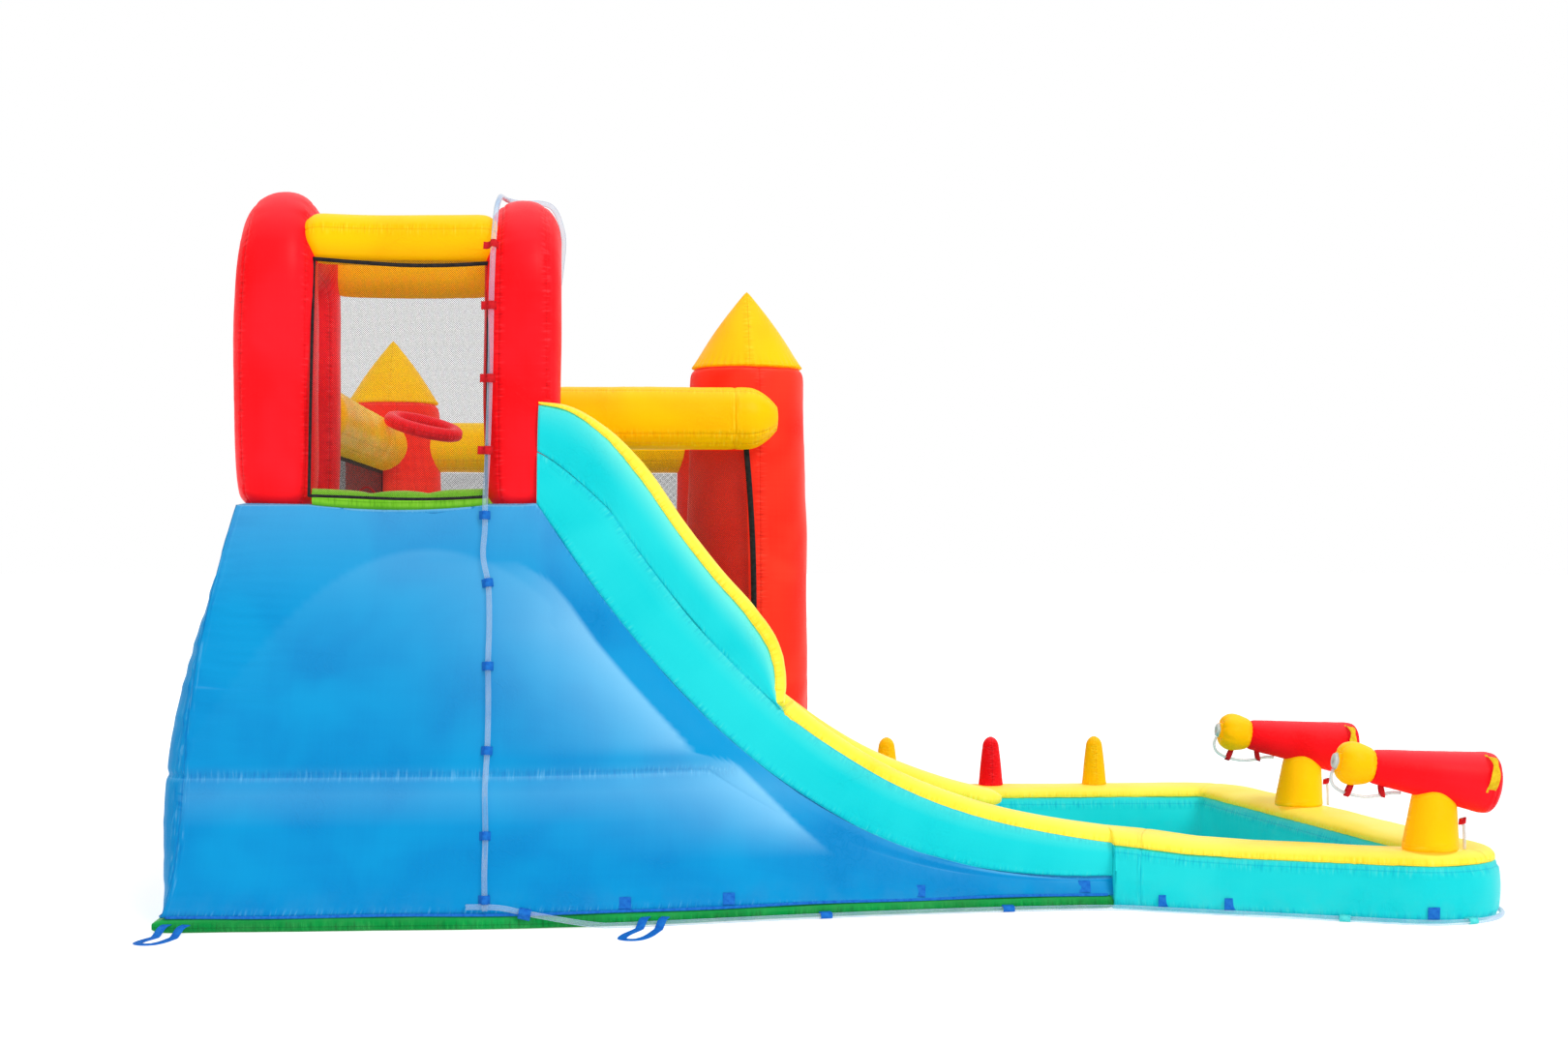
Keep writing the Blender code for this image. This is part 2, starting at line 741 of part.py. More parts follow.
def makeTurret(name, x, y):
    """Pointed cap: a round foot, nearly straight sides and a blunt tip."""
    foot = columnHeight + gap
    profile = ((0.0, turretLip - 0.014), (0.012, turretLip), (0.03, turretLip - 0.008),
               (0.35, turretLip * 0.70), (0.72, turretLip * 0.33), (0.95, turretLip * 0.08),
               (1.0, turretLip * 0.02))
    rings = [[(x + p[0], y + p[1], foot + share * turretHeight) for p in circle(radius, 20)]
             for share, radius in profile]
    return loft(name, rings, yellow)


def tubeAlong(stations, axis, centre, look, name, hollow=0.0):
    """Straight tube along X or Y; stations are (place, radius)."""
    def rings(less):
        made = []
        for place, radius in stations:
            ring = []
            for step in range(16):
                a = 2 * math.pi * step / 16
                side = (radius - less) * math.cos(a)
                up = (radius - less) * math.sin(a)
                ring.append((place, centre[0] + side, centre[1] + up) if axis == "x"
                            else (centre[0] - side, place, centre[1] + up))
            made.append(ring)
        return made
    if hollow > 0:
        return loft(name, rings(0.0) + rings(hollow)[::-1], look, closed=True)
    return loft(name, rings(0.0), look)


def makeRails():
    near = tubeAlong(((nearRailStart, railRadius * 0.72), (nearRailStart + 0.03, railRadius * 0.93),
                      (nearRailStart + 0.08, railRadius), (nearRailEnd - 0.09, railRadius),
                      (nearRailEnd - 0.03, railRadius * 0.88), (nearRailEnd, railRadius * 0.6)),
                     "x", (nearRailY, railHeight), yellow, "rail_near")
    cut(near, columnCutter("near_rail_seat", columnFrontX, columnNearY))
    legEnd = legFar + archDepth / 2 + gap * 2
    back = tubeAlong(((legEnd, railRadius * 0.94), (legEnd + 0.04, railRadius),
                      (columnFarY - columnRadius * 0.7, railRadius)), "y", (backRailX, railHeight), yellow,
                     "rail_back", railWall)
    cut(back, columnCutter("back_rail_seat", columnBackX, columnFarY))
    far = tubeAlong(((columnBackX + columnRadius * 0.7, railRadius),
                     (columnFrontX - columnRadius * 0.7, railRadius)),
                    "x", (columnFarY, railHeight), yellow, "rail_far", railWall)
    cut(far, columnCutter("far_rail_seat_a", columnBackX, columnFarY))
    cut(far, columnCutter("far_rail_seat_b", columnFrontX, columnFarY))


def netPanel(name, start, stop, outline):
    """Netting on an upright plane from start to stop (plan); the outline is (distance along, height)."""
    along = np.array(stop) - np.array(start)
    along = along / np.linalg.norm(along)
    side = np.array((-along[1], along[0])) * netWall / 2
    rings = []
    for sign in (-1, 1):
        rings.append([(start[0] + along[0] * d + side[0] * sign, start[1] + along[1] * d + side[1] * sign, z)
                      for d, z in outline])
    loft(name, rings, mesh)


def columnReach(offset):
    """How far a column's side stands from its axis, along a line that passes it at an offset."""
    return math.sqrt(max(columnRadius ** 2 - offset ** 2, 0.0)) + gap * 3


def makeNets():
    """Netting between the floor and the rails, tied to the columns and the tower."""
    foot = floorHeight + gap * 2
    top = railHeight - railRadius - gap * 3
    nearStart = archFrontX - archSkew + archWidth / 2 + gap
    nearSpan = columnFrontX + 0.01 - nearStart
    netPanel("net_near", (nearStart, nearRailY), (columnFrontX, nearRailY),
             ((0.0, foot), (nearSpan, foot), (nearSpan, top), (0.0, top)))
    farStart = columnBackX + columnReach(0.0)
    farSpan = columnFrontX - columnReach(0.0) - farStart
    netPanel("net_far", (farStart, columnFarY), (columnFrontX, columnFarY),
             ((0.0, foot), (farSpan, foot), (farSpan, top), (0.0, top)))
    backStart = legFar + archDepth / 2 + gap * 3
    backSpan = columnFarY - columnReach(columnBackX - backRailX) - backStart
    ledge = bounceNear + gap - backStart
    netPanel("net_back", (backRailX, backStart), (backRailX, columnFarY),
             ((ledge, foot), (backSpan, foot), (backSpan, top), (0.0, top), (0.0, deckHeight + gap * 4),
              (ledge, deckHeight + gap * 4)))


def makeClimbingWall():
    """Leaning pad from the bounce floor up to the deck, with round hand holds."""
    middle = (archBackX + archFrontX) / 2 - archSkew
    topY = bounceNear + gap
    topZ = deckHeight + padThickness * 0.6
    footZ = floorHeight + gap * 2
    lean = np.array((climbRun, footZ - topZ))
    along = lean / np.linalg.norm(lean)
    out = np.array((-along[1], along[0]))
    half = climbWidth / 2
    footY = topY + climbRun + climbThickness
    outline = [np.array((topY, footZ)), np.array((footY, footZ)), np.array((footY, footZ + 0.05)),
               np.array((topY + climbThickness, topZ - 0.02)),
               np.array((topY + climbThickness - 0.03, topZ)), np.array((topY, topZ))]
    rings = []
    for amount, x in ((0.02, -half), (0.0, -half + 0.02), (0.0, half - 0.02), (0.02, half)):
        ring = [(middle + x, p[0], p[1]) for p in insetOutline(outline, amount)]
        rings.append([(x0, max(y, topY), max(z, footZ)) for x0, y, z in ring])
    wall = loft("climbing_wall", rings, cyan)
    face = np.array((topY + climbThickness, topZ - 0.02))
    foot = np.array((topY + climbRun + climbThickness, footZ + 0.05))
    for index in range(6):
        share = 0.18 + 0.13 * index
        spot = face + (foot - face) * share
        x = middle + (0.12 if index % 2 else -0.12)
        normal = np.array((foot[1] - face[1], face[0] - foot[0]))
        normal = -normal / np.linalg.norm(normal)
        rings = []
        for lift, radius in ((-0.02, holdRadius), (0.02, holdRadius), (0.035, holdRadius * 0.7)):
            centre = spot + normal * lift
            ring = []
            for step in range(10):
                a = 2 * math.pi * step / 10
                shift = (foot - face) / np.linalg.norm(foot - face) * radius * math.sin(a)
                ring.append((x + radius * math.cos(a), centre[0] + shift[0], centre[1] + shift[1]))
            rings.append(ring)
        fuse(wall, loft("climb_hold_%d" % (index + 1), rings, yellow))
    return wall


def makeHoop():
    """Ring for balls, sewn to the back rail and drooping over the bounce floor."""
    droop = math.radians(hoopDroop)
    seat = math.radians(hoopSeat)
    reach = railRadius + hoopTube + gap
    centre = Vector((backRailX + reach * math.cos(seat) + hoopRadius * math.cos(droop), hoopY,
                     railHeight + reach * math.sin(seat) - hoopRadius * math.sin(droop)))
    turn = Matrix.Rotation(droop, 4, "Y")
    rings = []
    for step in range(20):
        around = 2 * math.pi * step / 20
        ring = []
        for part in range(8):
            angle = 2 * math.pi * part / 8 - droop - seat
            radius = hoopRadius + hoopTube * math.cos(angle)
            local = Vector((radius * math.cos(around), radius * math.sin(around), hoopTube * math.sin(angle)))
            ring.append(tuple(centre + turn @ local))
        rings.append(ring)
    return loft("hoop", rings, red, closed=True)


def makeStep():
    left = bounceRight + gap * 2
    plan = shifted(roundedRectangle(stepDepth, stepWidth, 0.05), left + stepDepth / 2, doorCentreY + 0.10)
    levels = ((0.0, 0.008), (0.025, 0.0), (stepHeight - 0.04, 0.0), (stepHeight, 0.035))
    return uprightShell("entrance_step", plan, levels, shellWall, yellow)


def poolPath():
    """Centreline of the pool rim, with rounded corners, from the slide round to the slide base."""
    corners = [np.array((exitX + gap, poolStartY)), np.array((poolNearX, poolNearY)),
               np.array((poolFarX, poolFarY)), np.array((poolLeftX, poolFarY)),
               np.array((poolLeftX, laneFar + farFlare + gap * 12))]
    points = [corners[0]]
    for index in (1, 2, 3):
        corner = corners[index]
        back = corners[index - 1] - corner
        ahead = corners[index + 1] - corner
        back = back / np.linalg.norm(back)
        ahead = ahead / np.linalg.norm(ahead)
        half = math.acos(float(np.dot(back, ahead))) / 2
        reach = poolCorner / math.tan(half)
        bisector = (back + ahead) / np.linalg.norm(back + ahead)
        centre = corner + bisector * poolCorner / math.sin(half)
        first = corner + back * reach
        last = corner + ahead * reach
        a0 = math.atan2(*(first - centre)[::-1])
        a1 = math.atan2(*(last - centre)[::-1])
        if a1 < a0:
            a1 += 2 * math.pi
        if a1 - a0 > math.pi:
            a0 += 2 * math.pi
        for a in np.linspace(a0, a1, 6):
            points.append(centre + poolCorner * np.array((math.cos(a), math.sin(a))))
    points.append(corners[4])
    return points


def alongRim(section, path):
    """Rings of a section (offset to the outside, height) along the rim's path."""
    rings = []
    for index, point in enumerate(path):
        before = path[max(index - 1, 0)]
        after = path[min(index + 1, len(path) - 1)]
        along = (after - before) / np.linalg.norm(after - before)
        if index == 0:
            along = np.array((1.0, 0.0))
        if index == len(path) - 1:
            along = np.array((0.0, -1.0))
        outside = np.array((along[1], -along[0]))
        stretch = 1.0
        if index == 0:
            true = (after - point) / np.linalg.norm(after - point)
            stretch = 1 / max(float(np.dot(true, along)), 0.5)
        rings.append([(point[0] + outside[0] * side * stretch, point[1] + outside[1] * side * stretch, z)
                      for side, z in section])
    return rings


def makePoolWall():
    half = poolWidth / 2
    wall = poolWallShell
    top = poolWallHeight
    section = ((half - 0.01, 0.0), (half, 0.03), (half, top - 0.03), (half - 0.014, top),
               (-half + 0.014, top), (-half, top - 0.03), (-half, 0.03), (-half + 0.01, 0.0),
               (-half + 0.01 + wall, 0.0), (-half + wall, 0.03), (-half + wall, top - 0.03 - wall * 0.4),
               (-half + 0.014 + wall, top - wall), (half - 0.014 - wall, top - wall),
               (half - wall, top - 0.03 - wall * 0.4), (half - wall, 0.03), (half - 0.01 - wall, 0.0))
    return loft("pool_wall", alongRim(section, poolPath()), cyan)


def makePoolCap():
    half = poolWidth / 2 - 0.006
    foot = poolWallHeight + gap
    top = foot + poolCapThickness
    flat = feedPlace + tubeRadius
    section = ((half - 0.008, foot), (half, foot + poolCapThickness * 0.35),
               (half - 0.008, top - poolCapThickness * 0.25),
               (flat, top), (-flat, top), (-half + 0.008, top - poolCapThickness * 0.25),
               (-half, foot + poolCapThickness * 0.35), (-half + 0.008, foot))
    return loft("pool_cap", alongRim(section, poolPath()), yellow)


def makePoolFloor():
    """Basin sheet inside the rim, from the slide's exit to the side next to the bounce area."""
    half = poolWidth / 2 - 0.0095 + 0.012
    path = poolPath()
    rings = alongRim(((-half, 0.0),), path)
    inside = [np.array((ring[0][0], ring[0][1])) for ring in rings]
    baseSide = laneFar + farFlare + 0.006
    inside[0][0] = exitX + gap
    inside[-1][1] = baseSide + gap * 8
    outline = inside + [np.array((exitX + gap, baseSide + gap * 8))]
    return loft("pool_floor", [[(p[0], p[1], z) for p in outline] for z in (0.0, poolFloorThickness)], cyan)


def capTop():
    return poolWallHeight + gap + poolCapThickness


def makePegs():
    for index, look in enumerate((yellow, red, yellow)):
        x = pegStart + index * pegPitch
        foot = capTop() + gap
        profile = ((0.0, pegFoot), (0.06, pegFoot), (0.5, (pegFoot + pegTip) / 2 + 0.003), (0.86, pegTip),
                   (0.95, pegTip * 0.75), (1.0, pegTip * 0.3))
        rings = [[(x + p[0], poolFarY + p[1], foot + share * pegHeight) for p in circle(radius, 16)]
                 for share, radius in profile]
        loft("peg_%d" % (index + 1), rings, look)


def onBarrel(place, forward, side, up):
    """A place given along and square to the barrel's axis, whose nose points to -X and up."""
    turn = Matrix.Rotation(math.radians(cannonRise), 4, "Y")
    return tuple(Vector((place[0], place[1], pivotHeight)) + turn @ Vector((-forward, side, up)))


def barrelRadius(forward):
    share = (barrelRear + forward) / (barrelFront + barrelRear)
    return barrelRearRadius + (barrelMuzzleRadius - barrelRearRadius) * share


def barrelRings(place):
    """Barrel as rings along its axis, with rounded edges."""
    length = barrelFront + barrelRear
    rings = []
    profile = ((0.0, 0.80), (0.03, 0.95), (0.08, 1.0), (0.95, 1.0), (1.0, 0.96))
    for share, factor in profile:
        forward = length * share - barrelRear
        ring = circle(barrelRadius(forward) * factor, 20)
        rings.append([onBarrel(place, forward, p[0], p[1]) for p in ring])
    return rings


def barrelUnderside(x, y, clear):
    """Lowest height of the barrel's underside over all its tilts, from the pivot."""
    room = clear + facetRoom * y ** 2
    heights = []
    for tilt in (-tiltRange - 0.2, 0.0, tiltRange + 0.2):
        rise = math.radians(cannonRise + tilt)
        back = tiltDrop * math.sin(math.radians(tilt))
        low = tiltDrop * (1 - math.cos(math.radians(tilt)))
        forward = -x
        for _ in range(3):
            down = math.sqrt((barrelRadius(forward) + room) ** 2 - y ** 2)
            forward = (back - down * math.sin(rise) - x) / math.cos(rise)
        heights.append(forward * math.sin(rise) - down * math.cos(rise) - low)
    return min(heights)


def pedestalRings(place):
    """Soft neck on the rim, whose top is hollowed to the barrel's underside."""
    foot = capTop() + gap
    full = pivotHeight - 0.02 - foot
    clear = gap * 2
    outline = circle(1.0, 20)

    def spot(p, share, inward):
        radius = (pedestalFoot + (pedestalTop - pedestalFoot) * share) * inward
        width = np.interp(share, (0.08, 0.6, 1.0), (1.0, 0.93, 0.88))
        depth = np.interp(share, (0.08, 0.6, 1.0), (1.0, 0.90, 0.72))
        return p[0] * width * radius, p[1] * depth * radius

    tops = []
    for p in outline:
        share = 0.7
        for _ in range(8):
            x, y = spot(p, share, 1.0)
            share = (pivotHeight + barrelUnderside(x, y, clear) - foot) / full
        tops.append(share)
    rings = []
    for level in (0.0, 0.1, 0.55, 1.0):
        ring = []
        for p, top in zip(outline, tops):
            x, y = spot(p, top * level, 1.0)
            ring.append((place[0] + x, place[1] + y, foot + full * top * level))
        rings.append(ring)
    for inward in (0.80, 0.58, 0.34, 0.11):
        ring = []
        for p, top in zip(outline, tops):
            x, y = spot(p, top, inward)
            ring.append((place[0] + x, place[1] + y, pivotHeight + barrelUnderside(x, y, clear)))
        rings.append(ring)
    return rings


def turned(profile, place, count):
    """Rings of a piece turned about the barrel's axis; the profile is (distance forward, radius)."""
    return [[onBarrel(place, forward, p[0], p[1]) for p in circle(radius, count)]
            for forward, radius in profile]


def tube(name, points, radius, look, sides=2):
    """Round hose along a smooth curve through its points, with filled ends."""
    curve = bpy.data.curves.new(name, "CURVE")
    curve.dimensions = "3D"
    curve.bevel_depth = radius
    curve.bevel_resolution = sides
    curve.use_fill_caps = True
    line = curve.splines.new("POLY")
    line.points.add(len(points) - 1)
    for slot, point in zip(line.points, points):
        slot.co = (float(point[0]), float(point[1]), float(point[2]), 1.0)
    item = bpy.data.objects.new(name, curve)
    bpy.context.scene.collection.objects.link(item)
    curve.materials.append(makeMaterial(*look))
    return item


def handleRings(place):
    """Webbing handle over the barrel's near rear, standing off it in the middle."""
    rings = []
    steps = 8
    for step in range(steps + 1):
        share = step / steps
        angle = math.radians(handleTop + (handleFoot - handleTop) * share)
        sewn = step in (0, steps)
        lift = -handleThickness * 0.8 if sewn else handleSlack * math.sin(math.pi * share) ** 0.7
        ring = []
        for along, out in ((-1, 0), (1, 0), (1, 1), (-1, 1)):
            forward = handlePlace - along * handleWidth / 2
            reach = barrelRadius(forward) + lift + handleThickness * out
            ring.append(onBarrel(place, forward, -reach * math.cos(angle), reach * math.sin(angle)))
        rings.append(ring)
    return rings


def makeCannon(label, place):
    """Pedestal on the rim, and the barrel with its nose, nozzle, handle and tube."""
    foot = capTop() + gap
    loft("cannon_pedestal_" + label, pedestalRings(place), yellow)
    barrel = loft("cannon_barrel_" + label, barrelRings(place), red)
    fuse(barrel, loft("cannon_handle_" + label, handleRings(place), yellow))
    front = barrelFront + gap * 2
    nose = ((front, barrelMuzzleRadius * 0.92), (front + 0.012, barrelMuzzleRadius * 1.02),
            (front + noseLength * 0.45, noseRadius * 0.93), (front + noseLength * 0.72, noseRadius),
            (front + noseLength * 0.92, noseRadius * 0.9), (front + noseLength, noseRadius * 0.66),
            (front + noseLength * 0.96, nozzleRadius + gap * 2),
            (front + noseLength * 0.6, nozzleRadius + gap * 2))
    loft("cannon_nose_" + label, turned(nose, place, 20), yellow)
    seat = front + noseLength * 0.6 + gap * 2
    nozzle = ((seat, nozzleRadius), (front + noseLength + nozzleLength * 0.8, nozzleRadius),
              (front + noseLength + nozzleLength, nozzleRadius * 0.85),
              (front + noseLength + nozzleLength, nozzleRadius * 0.35),
              (front + noseLength * 0.8, nozzleRadius * 0.35))
    loft("cannon_nozzle_" + label, turned(nozzle, place, 14), grey)
    tip = front + noseLength + nozzleLength * 0.6
    route = ((tip, -nozzleRadius - gap * 2), (tip + 0.004, -0.052), (tip - 0.008, -0.086),
             (tip - 0.042, -0.104), (tip - 0.088, -0.109), (tip - 0.133, -0.106), (tip - 0.180, -0.090),
             (0.135, -0.0745), (0.105, -barrelRadius(0.105) - tubeRadius - gap * 2))
    points = smooth([onBarrel(place, forward, 0.0, up) for forward, up in route], 2)
    tube("cannon_tube_" + label, points, tubeRadius, clear)
    side = feedPlace
    feed = ((side - 0.0105, -0.142), (side - 0.003, -0.165), (side, -0.195),
            (side, foot - pivotHeight + 0.015), (side, foot - pivotHeight + gap))
    points = smooth([(place[0] + x, place[1], pivotHeight + z) for x, z in feed], 2)
    tube("cannon_feed_" + label, points, tubeRadius, clear)


def baseSideY(x, z, clearance):
    """Y of a point beside the base's near face, clear of it."""
    return laneNear + laneShift(x, "near") - nearFlare * leanShare(x, z) - clearance


def makeRiser():
    """Spray hose: up the base, up the arch leg, over the arch and into its mouth."""
    clearance = hoseRadius + hoseStandOff
    levels = ((teeHeight - hoseRadius * 1.4, hoseStandOff), (0.17, hoseStandOff), (0.45, hoseLoose),
              (0.80, hoseLoose), (1.10, hoseLoose), (deckHeight - 0.06, hoseLoose * 2))
    route = [(riserX, baseSideY(riserX, z, hoseRadius + loose), z) for z, loose in levels]
    legSide = legNear - archDepth / 2 - clearance - 0.014
    crown = archTop - archBend - archDepth / 2
    outer = archBend + archDepth / 2 + hoseRadius + hoseLoose
    route += [(riserX + 0.004, legSide, deckHeight + 0.14), (riserX + 0.008, legSide, 1.85),
              (riserX + 0.012, legSide - 0.006, crown)]
    for angle in (32, 62):
        turn = math.radians(angle)
        route.append((riserX + 0.012 + 0.001 * angle, legNear + archBend - outer * math.cos(turn),
                      crown + outer * math.sin(turn)))
    over = legNear + archBend + 0.02
    edge = archFrontX + archWidth / 2 + clearance
    underside = archTop - archDepth - clearance
    route += [(archFrontX, over, archTop + clearance + 0.002), (edge - 0.028, over + 0.035, archTop + 0.002),
              (edge + 0.010, over + 0.05, archTop - 0.10), (edge + 0.008, over + 0.075, underside + 0.06),
              (edge - 0.035, over + 0.11, underside - 0.012), (archFrontX + 0.02, over + 0.15, underside)]
    tube("hose_riser", smooth(route, 3), hoseRadius, clear)


def makeSupplyHose():
    """Supply hose: from the riser's foot to the ground, along the mat and round the pool's end."""
    lying = hoseRadius + gap
    clearance = hoseRadius + hoseLoose
    start = riserX + hoseRadius + gap * 2.5
    side = baseSideY(riserX, teeHeight, hoseRadius + hoseStandOff)
    route = [(start, side, teeHeight), (start + 0.035, side - 0.002, teeHeight - 0.002),
             (start + 0.14, matNearY(start + 0.14) - clearance, matHeight + 0.008)]
    route += [(x, matNearY(x) - clearance, lying) for x in matStations()[5:-1]]
    rim = [ring[0] for ring in alongRim(((poolWidth / 2 + clearance, lying),), poolPath())]
    first = np.array(rim[0])
    last = np.array(rim[6])
    ahead = np.array(rim[7]) - last
    route += [tuple(first + (np.array(rim[1]) - first) * share) for share in (0.12, 0.5)]
    route += rim[1:7]
    route += [tuple(last + ahead * share) for share in (0.2, 0.4, 0.6)]
    lowered = [(x, y, max(z, lying)) for x, y, z in smooth(route, 2)]
    tube("hose_supply", lowered, hoseRadius, clear)


def makeStrap(name, x, reach):
    """Loop of anchor webbing, sewn to the mat's near edge and lying on the ground."""
    out = np.array((math.cos(math.radians(strapHeading)), math.sin(math.radians(strapHeading))))
    side = np.array((-out[1], out[0])) * strapBend
    start = np.array((x, matNearY(x)))
    lying = strapThickness / 2 + gap
    leg = ((0.0, strapSeam), (0.035, strapSeam * 0.87), (0.08, lying), (reach - strapBend, lying))
    path = [(start + out * run + side, z) for run, z in leg]
    for angle in (60, 30, 0, -30, -60):
        turn = math.radians(angle)
        run = reach - strapBend + strapBend * math.cos(turn)
        path.append((start + out * run + side * math.sin(turn), lying))
    path += [(start + out * run - side, z) for run, z in leg[::-1]]
    rings = []
    for index, (point, z) in enumerate(path):
        before = path[max(index - 1, 0)][0]
        after = path[min(index + 1, len(path) - 1)][0]
        along = (after - before) / np.linalg.norm(after - before)
        across = np.array((-along[1], along[0])) * strapWidth / 2
        edges = [point - across, point + across]
        if index in (0, len(path) - 1):
            edges = [np.array((edge[0], matNearY(edge[0]) - gap)) for edge in edges]
        half = strapThickness / 2
        around = zip(edges + edges[::-1], (-half, -half, half, half))
        rings.append([(edge[0], edge[1], z + up) for edge, up in around])
    loft(name, rings, strapBlue)


def main():
    clearScene()
    makeSlideMat()
    makeSlideBase()
    makeBaseBaffle("base_baffle_rear", baffleFaces[0], baffleFaces[1])
    makeBaseBaffle("base_baffle_front", baffleFaces[2], baffleFaces[3])
    makePad()
    makeSlideBed()
    for side, face, end in (("near", laneNear, 1.0), ("far", laneFar, 1.0 - farWallEnd / slideRun)):
        inner = face + wallThickness if side == "near" else face - wallThickness
        wall = acrossLane("slide_wall_" + side, bandOutline(end), face, inner, side, cyan)
        wing = acrossLane("slide_wing_" + side, wingOutline(), face, inner, side, cyan)
        cutter = archCutter("arch_seat_" + side, archFrontX)
        cut(wall, cutter)
        cut(wing, cutter)
        lower = slideCurve(wallDepth, slideShares(capStart, end))
        lower[-1][0] -= gap
        capAlong("wall_cap_" + side, lower, face, inner, capThickness, side, yellow)
        cap = capAlong("wing_cap_" + side, wingEdge(0.0), face, inner, capThickness, side, yellow)
        cut(cap, cutter)
    makeArch("tower_arch_back", archBackX)
    makeArch("tower_arch_front", archFrontX)
    makeBeam("tower_beam_near", legNear)
    makeBeam("tower_beam_far", legFar)
    makeTowerNetNear()
    makeTowerNetBack()
    makeBounceMat()
    makeBounceFloor()
    makeFloorBaffle()
    for name, x, y in (("front_near", columnFrontX, columnNearY), ("front_far", columnFrontX, columnFarY),
                       ("back_far", columnBackX, columnFarY)):
        makeColumn("column_" + name, x, y)
        makeTurret("turret_" + name, x, y)
    makeRails()
    makeNets()
    makeClimbingWall()
    makeHoop()
    makeStep()
    makePoolFloor()
    makePoolWall()
    makePoolCap()
    makePegs()
    poolStart, nearCorner = np.array((exitX, poolStartY)), np.array((poolNearX, poolNearY))
    nearPlace = poolStart * (1 - nearCannonShare) + nearCorner * nearCannonShare
    farPlace = nearCorner * (1 - farCannonShare) + np.array((poolFarX, poolFarY)) * farCannonShare
    farPlace[0] -= farCannonInset
    makeCannon("near", nearPlace)
    makeCannon("far", farPlace)
    makeRiser()
    makeSupplyHose()
    makeStrap("anchor_strap_rear", rearStrapX, rearStrapReach)
    makeStrap("anchor_strap_side", sideStrapX, sideStrapReach)


main()
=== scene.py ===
import bpy
import bmesh
import math
import numpy as np
from mathutils import Matrix, Vector


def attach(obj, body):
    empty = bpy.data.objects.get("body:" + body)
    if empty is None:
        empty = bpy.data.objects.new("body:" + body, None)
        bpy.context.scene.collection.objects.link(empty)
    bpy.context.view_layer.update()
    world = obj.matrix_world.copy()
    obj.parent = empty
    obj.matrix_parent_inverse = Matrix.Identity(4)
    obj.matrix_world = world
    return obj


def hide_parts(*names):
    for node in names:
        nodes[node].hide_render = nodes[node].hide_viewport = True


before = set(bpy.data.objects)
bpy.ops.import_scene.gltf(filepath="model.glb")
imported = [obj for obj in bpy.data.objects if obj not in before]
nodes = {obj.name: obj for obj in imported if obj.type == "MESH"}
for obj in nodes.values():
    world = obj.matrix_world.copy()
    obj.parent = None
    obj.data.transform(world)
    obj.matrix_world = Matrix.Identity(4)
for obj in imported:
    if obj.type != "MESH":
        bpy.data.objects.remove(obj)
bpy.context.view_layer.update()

scene = bpy.context.scene
print("frame loaded:", len(nodes), "nodes")

# Sizes shared with the solids, in metres
gap = 0.0003
matHeight, deckHeight, deckRear, deckEdge = 0.045, 1.38, -1.745, -0.757
rearToe, rearBulge = 0.205, 0.075
slideRun, exitHeight, slidePower = 1.96, 0.105, 2.42
laneNear, laneFar, laneToeIn, nearFlare, farFlare = -1.75, -0.64, 0.10, 0.21, 0.03
wallThickness, wallDepthTop, wallDepthExit = 0.20, 0.19, 0.118
wingDepth, wingReach, guardRise, wingShoulder = 0.15, 0.355, 0.31, 0.235
archWidth, archDepth, archTop, archBend = 0.243, 0.29, 2.445, 0.20
legNear, legFar, archSkew, archBackX, archFrontX = -1.60, -0.785, 0.03, -1.627, -0.808
beamRadius, beamHeight = 0.086, 2.273
floorHeight, bounceLeft, bounceRight, bounceNear, bounceFar = 0.30, -1.86, 0.275, -0.6037, 2.17
columnRadius, columnNeck, columnHeight = 0.235, 0.226, 1.955
railRadius, railHeight, backRailX, nearRailY, farRailY = 0.122, 1.742, -1.645, -0.515, 1.91
poolWidth, poolWallHeight, capTop = 0.25, 0.19, 0.2323
rimFar, rimLeft, pegFirst, pegPitch = 0.20, 0.42, 0.64, 0.445
pivotHeight, cannonRise = 0.478, 8.5
barrelFront, barrelRear, barrelMuzzle, barrelTail = 0.215, 0.21, 0.056, 0.104
hoseRadius, tubeRadius = 0.009, 0.0055
exitX = deckEdge + slideRun
matTop = matHeight + gap
columnPlaces = {"front_near": (0.022, -0.25), "front_far": (0.022, 1.91), "back_far": (-1.615, 1.91)}
cannonPlaces = {"near": (2.21367, -1.97573), "far": (2.17356, -0.65471)}


# camera, lights and floor
view = {"place": (-0.45, -9.2, 1.2), "yaw": 3.98, "pitch": 0.90, "lens": 51.11}

camera = bpy.data.objects.new("camera", bpy.data.cameras.new("camera"))
camera.data.sensor_width = 36.0
camera.data.lens = view["lens"]
camera.data.clip_end = 200.0
camera.location = view["place"]
camera.rotation_euler = (math.radians(90 + view["pitch"]), 0.0, math.radians(-view["yaw"]))
scene.collection.objects.link(camera)
scene.camera = camera
scene.view_settings.view_transform = "Standard"


def srgb(r, g, b):
    return tuple(((v / 255 + 0.055) / 1.055) ** 2.4 if v > 10 else v / 3294.6 for v in (r, g, b)) + (1.0,)


def fill(tree, made, inputs):
    # Each input is a socket to link or a plain value
    for key, value in inputs.items():
        if isinstance(value, bpy.types.NodeSocket):
            tree.links.new(value, made.inputs[key])
        else:
            made.inputs[key].default_value = value
    return made


def node(tree, kind, inputs=None, **settings):
    made = tree.nodes.new(kind)
    for key, value in settings.items():
        setattr(made, key, value)
    return fill(tree, made, inputs or {})


def calc(tree, operation, first, second=0.0, clamp=False):
    return node(tree, "ShaderNodeMath", {0: first, 1: second}, operation=operation, use_clamp=clamp).outputs[0]


def times(tree, first, second):
    return calc(tree, "MULTIPLY", first, second)


def plus(tree, first, second, clamp=False):
    return calc(tree, "ADD", first, second, clamp)


